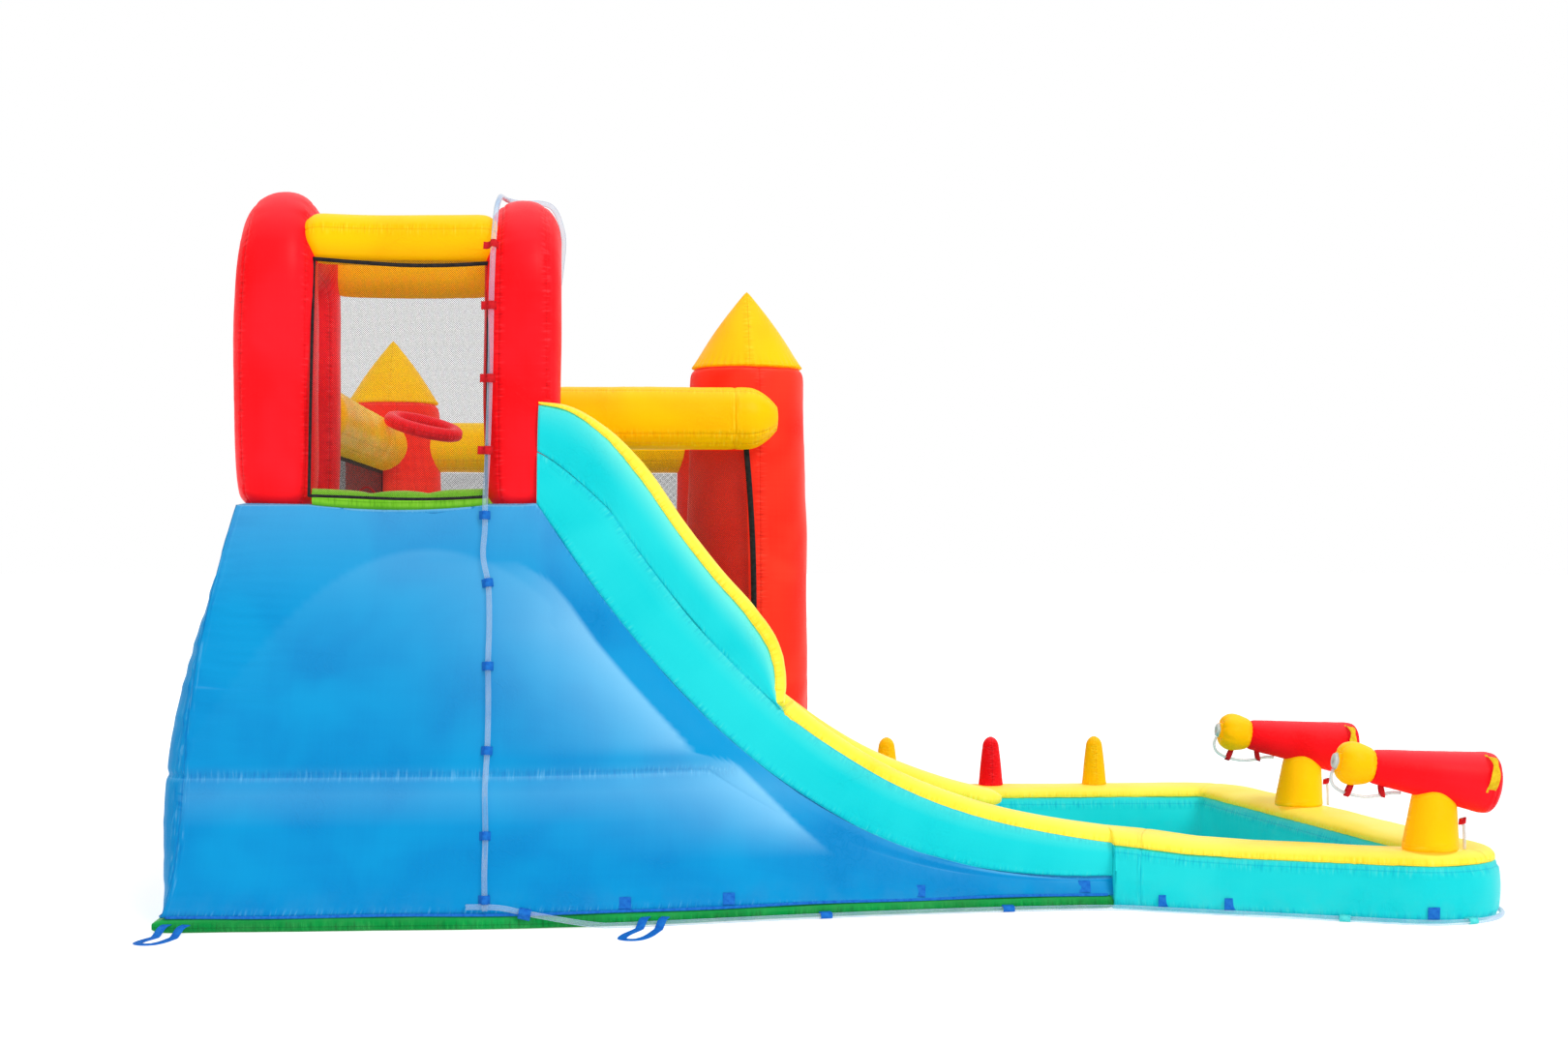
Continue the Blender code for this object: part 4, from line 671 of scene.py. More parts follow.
# slide base
def slideShare(x):
    return np.clip((np.asarray(x, float) - deckEdge) / slideRun, 0.0, 1.0)


def slideZ(x):
    return exitHeight + (deckHeight - exitHeight) * (1 - slideShare(x)) ** slidePower


def slideNormal(x):
    share = np.minimum(slideShare(x), 0.9999)
    fall = (deckHeight - exitHeight) / slideRun * slidePower * (1 - share) ** (slidePower - 1)
    fall = np.where(np.asarray(x) <= deckEdge, 0.0, fall)
    return np.stack((fall, np.ones_like(fall)), -1) / np.sqrt(fall ** 2 + 1)[..., None]


def footShare(x):
    low = (slideZ(x) - matTop) / (deckHeight - matTop)
    return 1 - (1 - low) ** 2


def rearX(z):
    drop = 1 - np.clip((z - matTop) / (deckHeight - matTop), 0.0, 1.0)
    return deckRear - rearToe * drop ** 0.8 - rearBulge * np.sin(math.pi * drop ** 1.3) ** 1.2


baseLook = {"seamHeight": 0.492, "seamEnd": -0.18, "seamShare": 0.73, "bellyLow": 0.020, "bellyHigh": 0.016,
            "cornerStrip": 0.078, "edgeDip": 0.017, "rearGathers": 0.0060, "gatherReach": 0.17, "edgeRoll": 0.03,
            "edgeDrop": 0.02, "length": 2.95}


def deckDip(x):
    # The deck's near edge hangs a little between the tower's legs
    share = np.clip((x - (archBackX + archWidth / 2)) / (archFrontX - archBackX - archWidth), 0.0, 1.0)
    return baseLook["edgeDip"] * np.sin(math.pi * share) ** 0.8


def baseNearY(x, z):
    # Near face of the base with its bellies: out between the seams, in at them
    look = baseLook
    x, z = np.asarray(x, float), np.asarray(z, float)
    top = slideZ(x)
    rise = np.clip((z - matTop) / (top - matTop), 0.0, 1.0)
    split = np.where(x < look["seamEnd"], (look["seamHeight"] - matTop) / (top - matTop), look["seamShare"])
    low = np.clip(rise / split, 0.0, 1.0)
    high = np.clip((rise - split) / (1 - split), 0.0, 1.0)
    belly = look["bellyLow"] * np.sin(math.pi * low) ** 0.8 + look["bellyHigh"] * np.sin(math.pi * high) ** 0.7
    whole = np.clip((x - look["seamEnd"]) / 0.25, 0.0, 1.0)
    belly = belly * (1 - whole) + look["bellyLow"] * np.sin(math.pi * rise) ** 0.8 * whole
    fade = np.clip((exitX - x) / 1.1, 0.0, 1.0) * np.clip((x - rearX(z)) / 0.35, 0.0, 1.0) ** 0.7
    lean = nearFlare * footShare(x) * (1 - rise)
    return laneNear + laneToeIn * slideShare(x) - lean - belly * fade


def glowEdge(z):
    # X of the sharp edge where light through the slide's skin stops, by height
    heights = (1.182, 1.12, 1.05, 0.92, 0.80, 0.70, 0.62, 0.55, 0.53, 0.515, 0.40, 0.30, 0.20)
    places = (-0.80, -0.70, -0.64, -0.55, -0.45, -0.36, -0.285, -0.225, -0.15, -0.085, 0.03, 0.13, 0.245)
    return np.interp(z, heights[::-1], places[::-1])


def baseFace():
    # Near face in upright rows from the rear corner to the exit, each from foot to deck
    look = baseLook
    xs, _ = spread(look["length"], 0.024, (0.0,),
                   beside=(0.006, 0.014, 0.024, 0.036, 0.05, 0.066, 0.085, 0.105, 0.13, 0.155))
    low = np.linspace(0, 1, 66)[:-1]
    column = np.concatenate((low[:1], [low[1] * 0.5], low[1:], np.linspace(0, 1, 156) + 1.0))
    rows = []
    for share in xs / look["length"]:
        x0 = np.zeros(len(column))
        # a row's X depends on its heights, and they on the slide's height at that X
        for _ in range(9):
            height = slideZ(x0)
            split = np.where(x0 < look["seamEnd"], look["seamHeight"],
                             matTop + look["seamShare"] * (height - matTop))
            z = np.where(column < 1, matTop + (split - matTop) * column,
                         split + (height - split) * (column - 1))
            drop = 1 - np.clip((z - matTop) / (deckHeight - matTop), 0, 1)
            rear = rearX(z) + look["cornerStrip"] * np.sin(math.pi * drop ** 2.0) ** 0.9 + 0.004
            x0 = rear + (exitX - rear) * share
        dip = deckDip(x0) * np.clip((z - 1.2) / 0.18, 0, 1) ** 2
        rows.append(np.stack((x0, baseNearY(x0, z), z - dip), -1))
    return np.array(rows)


def throughLight(x, z):
    # Painted light for the glow attribute: light through the skin up to the slide's edge and on a hill below the
    # deck, and painted highlight on the upper parts of the two bellies, lit from above
    edge = glowEdge(z)
    inside = np.clip((edge - x) / 0.02, 0, 1) * np.exp(-np.clip(edge - x, 0, 9) / 0.20)
    inside *= np.clip((1.19 - z) / 0.22, 0, 1) ** 0.7 * np.clip((z - 0.20) / 0.12, 0, 1)
    notch = 1 - 0.65 * np.exp(-((z - 0.535) / 0.035) ** 2)
    hill = np.clip((1.235 - 1.1 * (x + 1.11) ** 2 - z) / 0.02, 0, 1)
    hill *= np.exp(-np.clip(1.235 - z, 0, 9) / 0.18) * (x < -0.7) * 0.13
    level = np.clip((z - 1.0) / 0.38, 0, 1) ** 1.5 * 0.16 + np.clip(0.10 - abs(z - 0.43), 0, 1) * 1.1
    return np.clip(0.62 * inside * notch + hill + level, 0, 1)


def weldEdges(item, distance):
    work = bmesh.new()
    work.from_mesh(item.data)
    bmesh.ops.remove_doubles(work, verts=work.verts, dist=distance)
    work.to_mesh(item.data)
    work.free()
    item.data.shade_smooth()


def makeBaseSkin():
    look = baseLook
    near = baseFace()
    heights = near.shape[1]
    # rounded upper edge and the deck, across to the far side; the edge stays sharp under the slide's walls
    soft = np.clip((deckEdge - near[:, -1, 0]) / 0.05, 0.03, 1.0)

    def rolled(face, sign, reach):
        steps = []
        for a in np.radians((30, 60, 90)):
            move = np.zeros_like(face[:, -1])
            move[:, 1] = sign * (reach * (1 - math.cos(a))) * soft
            move[:, 2] = (look["edgeDrop"] - reach * (1 - math.sin(a)) * 0.6) * soft
            steps.append(face[:, -1] + move)
        return np.stack(steps, 1)

    far = near.copy()
    rise = np.clip((near[..., 2] - matTop) / (slideZ(near[..., 0]) - matTop), 0, 1)
    far[..., 1] = laneFar + farFlare * footShare(near[..., 0]) * (1 - rise)
    near[:, -1, 2] -= look["edgeDrop"] * soft
    far[:, -1, 2] -= look["edgeDrop"] * soft
    nearRoll, farRoll = rolled(near, 1, look["edgeRoll"]), rolled(far, -1, look["edgeRoll"])
    across = [nearRoll[:, -1] * (1 - t) + farRoll[:, -1] * t for t in np.linspace(0, 1, 18)[1:-1]]
    under = [far[:, 0] * (1 - t) + near[:, 0] * t for t in np.linspace(0, 1, 8)[1:-1]]
    grid = np.concatenate((near, nearRoll, np.stack(across, 1), farRoll[:, ::-1], far[:, ::-1],
                           np.stack(under, 1)), 1)
    x, z = grid[..., 0], grid[..., 2]
    farStart = heights + 3 + len(across) + 3

    # horizontal folds beside the rear corner seam, deeper near it and fading along the face
    away = np.linalg.norm(grid - grid[:1], axis=-1)
    folds = noise2(z / 0.017 + 0.9 * noise2(z / 0.15, away / 0.15, 21), away / 0.20 + 2.0, 22)
    folds += 0.8 * noise2(z / 0.050 + 0.5 * noise2(z / 0.2, away / 0.2, 24), away / 0.30 + 5.0, 23)
    upper = np.clip((z - 0.35) / 0.5, 0.25, 1.0)
    folds *= (1 - np.exp(-away / 0.010)) * np.exp(-away / look["gatherReach"]) * upper
    shape = look["rearGathers"] * folds
    only = np.zeros(grid.shape[1])
    only[:heights] = 1.0
    only[farStart:farStart + heights] = 0.8
    shape = shape * only[None, :]

    glow = np.zeros(grid.shape[:2])
    glow[:, :heights] = throughLight(x, z)[:, :heights]
    corner = [0, heights + 1, farStart - 2, farStart + heights - 1]
    bounded = np.clip((look["seamEnd"] + 0.1 - x) / 0.3, 0, 1)
    normal, _ = normalsOf(grid, False, True)
    moved, near01 = puckered(grid, False, True, [0], corner, {"gather": 0.0022, "pitch": 0.03, "reach": 0.05,
                                                              "groove": 0.004, "dent": 0.0035, "seed": 4},
                             None, shape)
    # the level seam across the near face
    pinch = np.zeros(grid.shape[:2])
    drift = np.abs(z - look["seamHeight"])
    pinch[:, :heights] = (np.exp(-(drift / 0.012) ** 1.4) * bounded)[:, :heights]
    moved += normal * (-0.007 * pinch)[..., None]
    line = (1 - np.minimum(drift / seamReach, 1)) * (bounded > 0.02)
    near01[:, :heights] = np.maximum(near01[:, :heights], (line * 0.93)[:, :heights])

    # rear face: bowed out between its two corner seams
    first, last = moved[0, :heights][None], moved[0, farStart:farStart + heights][::-1][None]
    ts = np.concatenate(((0.0, 0.01, 0.025, 0.05, 0.08), np.linspace(0.12, 0.88, 26),
                         (0.92, 0.95, 0.975, 0.99, 1.0)))
    t = ts[:, None, None]
    rear = first * (1 - t) + last * t
    bow = (1 - np.abs(2 * ts - 1) ** 16)[:, None]
    rear[..., 0] -= np.clip(rear[..., 0] - rearX(rear[..., 2]) - 0.002, 0, 1) * bow
    span = np.minimum(ts, 1 - ts)[:, None] * 1.15
    zz = rear[..., 2]
    folds = noise2(zz / 0.034 + 4, span / 0.2, 31) * (1 - np.exp(-span / 0.012)) * np.exp(-span / 0.10)
    rear[..., 0] -= 0.005 * folds
    seamRear = (1 - np.minimum(np.abs(zz - look["seamHeight"]) / seamReach, 1)) * 0.9
    rear[..., 0] += 0.006 * np.exp(-((zz - look["seamHeight"]) / 0.012) ** 2)
    body = skin("baseSkin", moved, "blue fabric", near=near01, glow=glow, ends=(False, True))
    tail = skin("baseRear", rear, "blue fabric", wrapV=False, facing=(-1, 0, 0),
                near=np.maximum(seamRear, 1 - np.minimum(span / seamReach, 1)))
    body = joined("baseSkin", [body, tail])
    weldEdges(body, 0.0004)
    placed(body, ("slide_base", "base_baffle_rear", "base_baffle_front"))


makeBaseSkin()
print("base made")


def matNearY(x):
    stations = np.linspace(deckRear - rearToe - 0.012, exitX, 12)
    edge = laneNear + laneToeIn * slideShare(stations) - nearFlare * footShare(stations) - 0.012
    return np.interp(x, stations, edge)


def slabGrid(xs, nearY, farY, low, high, radius, seamXs=(), dip=0.0, columns=40):
    # A flat cushion in rings along X: rounded edges, and its top drawn down at seams across it
    rings = []
    flat = np.linspace(0, 1, columns)
    arcs = [(math.cos(a), math.sin(a)) for a in np.radians(np.linspace(0, 90, 5))]
    for x in xs:
        near, far = nearY(x), farY(x)
        bottom, top = low(x), high(x)
        r = min(radius, (top - bottom) * 0.48)
        away = min([abs(x - s) for s in seamXs] + [9.0])
        sag = dip * math.exp(-(away / 0.035) ** 1.3)
        crown, wall = top - sag, top - bottom - 2 * r
        ring = [(near + r * (1 - s), bottom + r * (1 - c)) for c, s in arcs]
        ring += [(near, bottom + r + wall * t) for t in (0.25, 0.5, 0.75)]
        ring += [(near + r * (1 - c), top - r * (1 - s) - sag * s) for c, s in arcs]
        ring += [(near + r + (far - near - 2 * r) * t, crown) for t in flat[1:-1]]
        ring += [(far - r * (1 - s), top - r * (1 - c) - sag * c) for c, s in arcs]
        ring += [(far, bottom + r + wall * t) for t in (0.75, 0.5, 0.25)]
        ring += [(far - r * (1 - c), bottom + r * (1 - s)) for c, s in arcs]
        ring += [(near + r + (far - near - 2 * r) * t, bottom) for t in flat[::-4][1:-1]]
        rings.append([(x, y, z) for y, z in ring])
    return np.array(rings)


def closerEnds(left, right, insets, edge, count):
    # Places from left to right: even ones in the middle, closer ones at both ends
    return np.array(sorted([left + v for v in insets] + list(np.linspace(left + edge, right - edge, count))
                           + [right - v for v in insets]))


def makeMats():
    xs = np.concatenate(([-1.966, -1.955, -1.935], np.linspace(-1.9, exitX - 0.02, 110),
                         [exitX - 0.006, exitX - 0.001]))
    tuck = {xs[0]: 0.6, xs[1]: 0.25, xs[2]: 0.08, xs[-1]: 0.5, xs[-2]: 0.15}

    def topOf(x):
        wave = 0.002 * math.sin(x * 5.1) + 0.0015 * math.sin(x * 13.0 + 1.0)
        return matHeight - 0.02 * tuck.get(x, 0.0) - abs(wave)

    grid = slabGrid(xs, lambda x: float(matNearY(x)) + 0.002,
                    lambda x: laneFar + farFlare * float(footShare(x)) + 0.004,
                    lambda x: 0.0005 + 0.02 * tuck.get(x, 0.0), topOf, 0.016, columns=24)
    chamber("slideMat", grid, "mat green fabric", ("ground_mat_slide",), seamColumns=(4,), gather=0.0012,
            groove=0.0008, dent=0.0015, pitch=0.05, reach=0.03, seed=9)
    xs = closerEnds(bounceLeft, bounceRight, (0.002, 0.01, 0.03, 0.06), 0.1, 40)

    def corner(x):
        return insetOf(min(x - bounceLeft, bounceRight - x), 0.09)

    grid = slabGrid(xs, lambda x: bounceNear + corner(x), lambda x: bounceFar - corner(x), lambda x: 0.0005,
                    lambda x: 0.0118, 0.004, columns=24)
    chamber("bounceMat", grid, "mat green fabric", ("ground_mat_bounce",), gather=0.0, groove=0.0, dent=0.0003,
            seed=10)


makeMats()


def makeBaseHem():
    # Hem band along the foot of the near face
    xs = np.linspace(-1.925, exitX - 0.02, 60)
    path = [(x, float(baseNearY(x, matTop + 0.006)) - 0.004, matTop + 0.004 + 0.0015 * math.sin(x * 9))
            for x in xs]
    ribbon("baseHem", path, (0.0, 0.25, 1.0), 0.009, 0.003, "blue webbing")


makeBaseHem()
print("mats made")


# slide walls, guards, caps and bed
wallLook = {"bulge": 0.009, "capWidth": 0.198, "capRise": 0.046, "farShort": 0.30, "leadShare": 0.045}
slideSides = (("near", 1.0, 40), ("far", 1.0 - wallLook["farShort"] / slideRun, 50))    # side, end share, seed


def slideCurve(offset, shares):
    shares = np.asarray(shares, float)
    x = deckEdge + shares * slideRun
    return np.stack((x, slideZ(x)), -1) + slideNormal(np.maximum(x, deckEdge + 1e-6)) * offset(shares)[..., None]


def wallDepth(share):
    return wallDepthTop + (wallDepthExit - wallDepthTop) * np.asarray(share, float) ** 4


def wingEdge():
    # Upper edge of the guard in XZ: a steep lead, an even height above the slide, and a drop to the wall
    full = wallDepthTop + wingDepth
    main = slideCurve(lambda share: share * 0 + full, (0.03, 0.10, 0.17, wingShoulder))
    toe = slideCurve(wallDepth, (wingReach,))[0]
    lead = [(deckEdge + 0.005, deckHeight + guardRise + 0.024), (deckEdge + 0.095, deckHeight + guardRise + 0.006),
            (deckEdge + 0.215, deckHeight + guardRise * 0.77)]
    last = [toe + np.array(step) for step in ((-0.035, 0.20), (-0.014, 0.11), (-0.018, 0.02))]
    return np.array(lead + list(main) + last)


def wallSection(width, depth, low, high, bulge, faceSteps):
    # Points of a wall's section: metres in from its outer face, and share of its depth up from its foot
    lowR, highR = min(low, depth * 0.4), min(high, depth * 0.45)
    lowTurn = [(lowR * (1 - math.cos(a)), lowR * (1 - math.sin(a)) / depth) for a in np.radians((0, 45, 90))]
    highTurn = [(highR * (1 - math.cos(a)), (depth - highR * (1 - math.sin(a))) / depth)
                for a in np.radians((22, 45, 68, 90))]

    def upOf(t):
        return (lowR + (depth - lowR - highR) * t) / depth

    points = [(-bulge * math.sin(math.pi * t) ** 0.8, upOf(t)) for t in np.linspace(0, 1, faceSteps)] + highTurn
    points += [(highR + (width - 2 * highR) * t, 1.0 + 0.004 * math.sin(math.pi * t) / depth)
               for t in np.linspace(0, 1, 10)[1:-1]]
    points += [(width - a, b) for a, b in highTurn[::-1]]
    points += [(width + bulge * 0.7 * math.sin(math.pi * t), upOf(t)) for t in np.linspace(1, 0, 14)]
    points += [(width - a, b) for a, b in lowTurn]
    points += [(lowR + (width - 2 * lowR) * t, 0.0) for t in np.linspace(1, 0, 6)[1:-1]]
    return points + lowTurn[:0:-1]


def toeOf(x, side):
    # The near wall runs in towards the exit
    return laneToeIn * float(slideShare(x)) if side == "near" else 0.0


def wallGrid(bottom, top, side, low, high, faceSteps=26):
    outer, sign = (laneNear, 1) if side == "near" else (laneFar, -1)
    rings = []
    for foot, head in zip(bottom, top):
        depth = max(float(np.linalg.norm(head - foot)), 0.01)
        ring = []
        for across, up in wallSection(wallThickness, depth, low, high, wallLook["bulge"], faceSteps):
            place = foot + (head - foot) * up
            ring.append((place[0], outer + sign * across + toeOf(place[0], side), place[1]))
        rings.append(ring)
    return np.array(rings)


def makeSlideWalls():
    for side, end, seed in slideSides:
        places, _ = spread(2.0 * end, 0.014, (0.0, wingReach * 2.0, 2.0 * end),
                           beside=(0.003, 0.008, 0.016, 0.028))
        shares = places / 2.0
        bottom = slideCurve(lambda s: s * 0 + gap, shares)
        top = slideCurve(wallDepth, shares)
        lead = np.clip(1 - shares / wallLook["leadShare"], 0, 1)
        top[:, 1] = top[:, 1] * (1 - lead) + (deckHeight + wallDepthTop * 0.9) * lead
        top[:, 0] = top[:, 0] * (1 - lead) + (deckEdge + 0.001) * lead
        bottom[:, 0], top[:, 0] = np.minimum(bottom[:, 0], exitX - gap), np.minimum(top[:, 0], exitX - gap)
        grid = wallGrid(bottom, top, side, 0.004, 0.0015)
        # painted light: the wall's face grows paler towards its top
        glow = np.zeros(grid.shape[:2])
        glow[:, 17:26] = np.linspace(0, 0.30, 9)[None, :] * np.clip(shares * 2.2, 0.1, 1)[:, None]
        chamber("slideWall_" + side, grid, "cyan fabric", ("slide_wall_" + side,), seamColumns=(0, 26), glow=glow,
                gather=0.0026, pitch=0.024, reach=0.032, groove=0.0010, dent=0.003, seed=seed)
        # guard above the wall's upper part
        edge = wingEdge()
        knots = measure(edge)
        t = np.linspace(0, 1, 121)
        crest = curveAt(edge, knots, t * knots[-1])
        foot = slideCurve(wallDepth, t ** 1.05 * wingReach) - np.array((0.0, 0.002))
        lead = np.clip(1 - t * wingReach / wallLook["leadShare"], 0, 1)[:, None]
        foot = foot * (1 - lead) + np.array((deckEdge + 0.001, deckHeight + wallDepthTop * 0.9)) * lead
        grid = wallGrid(foot, crest, side, 0.0015, 0.030, 34)
        # painted highlight: the guard grows paler towards its upper edge
        glow = np.zeros(grid.shape[:2])
        glow[:, 14:36] = (np.linspace(0, 1, 22) ** 2.2 * 0.85)[None, :] * np.clip(t * 5, 0.35, 1)[:, None]
        toe = 0.0035 * noise2(np.linspace(0, 7, grid.shape[1])[None, :] + 0 * t[:, None],
                              t[:, None] * 4 + 0 * grid[..., 0], seed + 9)
        chamber("slideWing_" + side, grid, "cyan fabric", ("slide_wing_" + side,), seamColumns=(0, 36), glow=glow,
                shape=toe * np.clip((t - 0.70) / 0.2, 0, 1)[:, None], gather=0.0032, pitch=0.024, reach=0.032,
                groove=0.0012, dent=0.003, seed=seed + 1)


def capGrid(path, side, rise, taper=0.0):
    path = curve(path, 0.008)
    full = np.clip(0.25 + 0.75 * measure(path)[:len(path)] / max(taper, 1e-6), 0, 1)
    ahead = unit(np.gradient(path, axis=0))
    normal = np.stack((-ahead[:, 1], ahead[:, 0]), -1)
    middle = laneNear + wallThickness / 2 if side == "near" else laneFar - wallThickness / 2
    crown = [(-0.5 * math.copysign(abs(math.cos(a)) ** 0.62, math.cos(a)), max(math.sin(a), -0.12))
             for a in np.radians(np.linspace(-18, 198, 27))]
    crown = [(c, math.copysign(abs(u) ** 0.8, u)) for c, u in crown]
    under = [(c, -0.10) for c in np.linspace(0.46, -0.46, 6)]
    rings = []
    for place, way, share in zip(path, normal * rise, full):
        rings.append([(place[0] + way[0] * u * share, middle + c * wallLook["capWidth"] + toeOf(place[0], side),
                       place[1] + way[1] * u * share) for c, u in crown + under])
    grid = np.array(rings)
    grid[..., 0] = np.clip(grid[..., 0], deckEdge - 0.004, exitX - gap)
    return grid


def makeCaps():
    for side, end, seed in slideSides:
        grid = capGrid(slideCurve(wallDepth, np.linspace(0.362, end, 30)), side, wallLook["capRise"])
        chamber("wallCap_" + side, grid, "rim yellow fabric", ("wall_cap_" + side,), seamColumns=(2, 24),
                dome=(0.004, 0.001 if side == "near" else 0.05), gather=0.0038, pitch=0.017, reach=0.024,
                groove=0.0014, dent=0.002, seed=seed + 20)
        grid = capGrid(wingEdge(), side, wallLook["capRise"] * 0.80, 0.40)
        rows, columns = grid.shape[:2]
        deeper = 0.0022 * noise2(np.arange(rows)[:, None] / 3.0 + np.zeros((1, columns)),
                                 np.linspace(0, 1.6, columns)[None, :] + np.zeros((rows, 1)), seed + 28)
        deeper *= np.clip((np.linspace(0, 1, rows) - 0.72) / 0.14, 0, 1)[:, None]
        chamber("wingCap_" + side, grid, "rim yellow fabric", ("wing_cap_" + side,), seamColumns=(2, 24),
                dome=(0.002, 0.004), shape=deeper, gather=0.0036, pitch=0.020, reach=0.024, groove=0.0016,
                dent=0.0015, seed=seed + 21)


def makeBed():
    # Sliding sheet in four lanes, each crowned between its seams
    shares = np.concatenate(([-0.075, -0.05, -0.025], np.linspace(0, 1, 120)))
    lanes, perLane = 4, 9
    v = np.linspace(0, 1, lanes * perLane + 1)
    rows = []
    for share in shares:
        x = deckEdge + share * slideRun
        near, far = laneNear + wallThickness + toeOf(x, "near"), laneFar - wallThickness
        if x < archFrontX + archWidth / 2 + 0.01:
            near, far = legNear + archDepth / 2, legFar - archDepth / 2
        base = np.array((x, float(slideZ(x))))
        normal = slideNormal(x) if x > deckEdge else np.array((0.0, 1.0))
        row = []
        for t in v:
            place = base + normal * (0.006 + 0.013 * abs(math.sin(math.pi * t * lanes)) ** 0.55)
            row.append((min(place[0], exitX - gap), near + (far - near) * t, place[1]))
        rows.append(row)
    top = np.array(rows)
    under = top[:, [len(v) - 1, len(v) - 1 - len(v) // 2, 0]].copy()
    under[..., 2] -= 0.006
    under[:, 0, 1] -= 0.001
    under[:, 2, 1] += 0.001
    grid = np.concatenate((top, under), 1)
    chamber("slideBed", grid, "cyan fabric", ("slide_bed",), seamColumns=[k * perLane for k in range(lanes + 1)],
            gather=0.0016, pitch=0.035, reach=0.03, groove=0.0012, dent=0.001, seed=80)


makeSlideWalls()
makeCaps()
makeBed()
print("slide made")


# tower arches, beams, platform and nets
archLooks = {
    "back": {"centre": archBackX, "seams": (44, 136, 224, 316), "seed": 90, "lift": 0.020, "belly": 0.024},
    "front": {"centre": archFrontX, "seams": (58, 122, 238, 302), "seed": 94, "lift": -0.004, "belly": 0.006}}
archSwell, archGirth = 0.009, 0.86
archFoot, archMiddle = deckHeight + gap, archTop - archDepth / 2


def archX(centre, y):
    return centre - archSkew * (y - legNear) / (legFar - legNear)


def archLine(s):
    # Centreline in YZ and the inward direction at a distance along it
    leg, bend = archMiddle - archBend - archFoot, archBend * math.pi / 2
    span = legFar - legNear - 2 * archBend

    def bent(y, a):
        way = (math.cos(a), math.sin(a))
        return (y + archBend * way[0], archMiddle - archBend + archBend * way[1]), (-way[0], -way[1])

    if s < leg:
        return (legNear, archFoot + s), (1.0, 0.0)
    s -= leg
    if s < bend:
        return bent(legNear + archBend, math.pi - s / archBend)
    s -= bend
    if s < span:
        return (legNear + archBend + s, archMiddle), (0.0, -1.0)
    s -= span
    if s < bend:
        return bent(legFar - archBend, math.pi / 2 - s / archBend)
    s -= bend
    return (legFar, archMiddle - archBend - s), (-1.0, 0.0)


def makeArches():
    total = 2 * (archTop - archDepth / 2 - archBend - deckHeight - gap) + archBend * math.pi
    total += legFar - legNear - 2 * archBend
    for label, look in archLooks.items():
        angles, marks = anglesFor(archGirth, 0.017, look["seams"])
        places, _ = spread(total, 0.0085)
        rings = []
        for s in places:
            (y, z), (inY, inZ) = archLine(float(s))
            toEnd = min(s, total - s)
            tuck = 1 - 0.16 * math.exp(-(toEnd / 0.016) ** 1.3) - 0.035 * math.exp(-(toEnd / 0.07) ** 2)
            over = math.exp(-((s - total / 2) / 0.42) ** 4)
            belly = 1 + 0.012 * math.sin(math.pi * min(toEnd / 0.7, 1.0))
            across, deep = superRing(angles, (archWidth + archSwell) * tuck * belly, archDepth * tuck,
                                     2.7 - 0.55 * over)
            py = y + inY * deep
            rings.append(np.stack((archX(look["centre"], py) + across, py, z + inZ * deep), -1))
        grid = np.array(rings)
        grid[..., 2] += look["lift"] * np.clip((grid[..., 2] - 2.1) / 0.3, 0, 1)
        # the legs bow out towards the slide base's rear
        rear = np.clip((archX(look["centre"], grid[..., 1]) - grid[..., 0]) / 0.12, 0, 1)
        grid[..., 0] -= look["belly"] * rear * np.sin(math.pi * np.clip((grid[..., 2] - 1.30) / 1.15, 0, 1))
        chamber("arch_" + label, grid, "red fabric", ("tower_arch_" + label,), seamColumns=marks, dome=(0.0, 0.0),
                gather=0.0050, pitch=0.017, reach=0.034, groove=0.0030, dent=0.0035, seed=look["seed"])


def makeBeams():
    for label, y, seed, lift in (("near", legNear, 100, 0.006), ("far", legFar, 104, -0.009)):
        start = archX(archBackX, y) + archWidth / 2 - 0.03
        stop = archX(archFrontX, y) - archWidth / 2 + 0.03
        angles, marks = anglesFor(2 * math.pi * beamRadius, 0.014, (20, 160, 270))
        xs, _ = spread(stop - start, 0.012)
        rings = []
        for x in xs:
            toEnd = min(x, stop - start - x)
            r = beamRadius * (1 - 0.30 * math.exp(-(toEnd / 0.020) ** 1.4))
            sag = 0.006 * math.sin(math.pi * x / (stop - start)) - lift
            rings.append([(start + x, y + r * math.cos(a), beamHeight - sag + r * math.sin(a)) for a in angles])
        chamber("beam_" + label, np.array(rings), "yellow fabric", ("tower_beam_" + label,), seamColumns=marks,
                dome=(0.01, 0.01), gather=0.0030, pitch=0.022, reach=0.026, groove=0.0022, dent=0.002, seed=seed)


def makePlatform():
    left, right = archBackX + archWidth / 2 + 0.002, archFrontX - archWidth / 2 - 0.002
    xs = closerEnds(left, right, (0.0, 0.004, 0.012), 0.03, 60)
    seamXs = [left + (right - left) * k / 3 for k in (1, 2)]
    grid = slabGrid(xs, lambda x: laneNear + 0.004, lambda x: laneFar - 0.006,
                    lambda x: deckHeight - 0.006 - float(deckDip(x)),
                    lambda x: deckHeight + 0.050 - float(deckDip(x)) * 0.4, 0.024, seamXs, 0.010, 60)
    lean = (grid[..., 1] - legNear) / (legFar - legNear)
    grid[..., 0] -= archSkew * lean
    chamber("platformPad", grid, "platform green fabric", ("platform_pad",), seamColumns=(4, 12), gather=0.0030,
            pitch=0.030, reach=0.035, groove=0.0015, dent=0.002, seed=110)
    # grip of tape on the pad's far half
    line = [(-1.475 + 0.07 * t, -0.69, 1.438 + 0.028 * math.sin(math.pi * t)) for t in np.linspace(0, 1, 9)]
    ribbon("platformGrip", line, (0.0, 1.0, 0.0), 0.034, 0.005, "red webbing")


makeArches()
makeBeams()
makePlatform()
print("tower made")


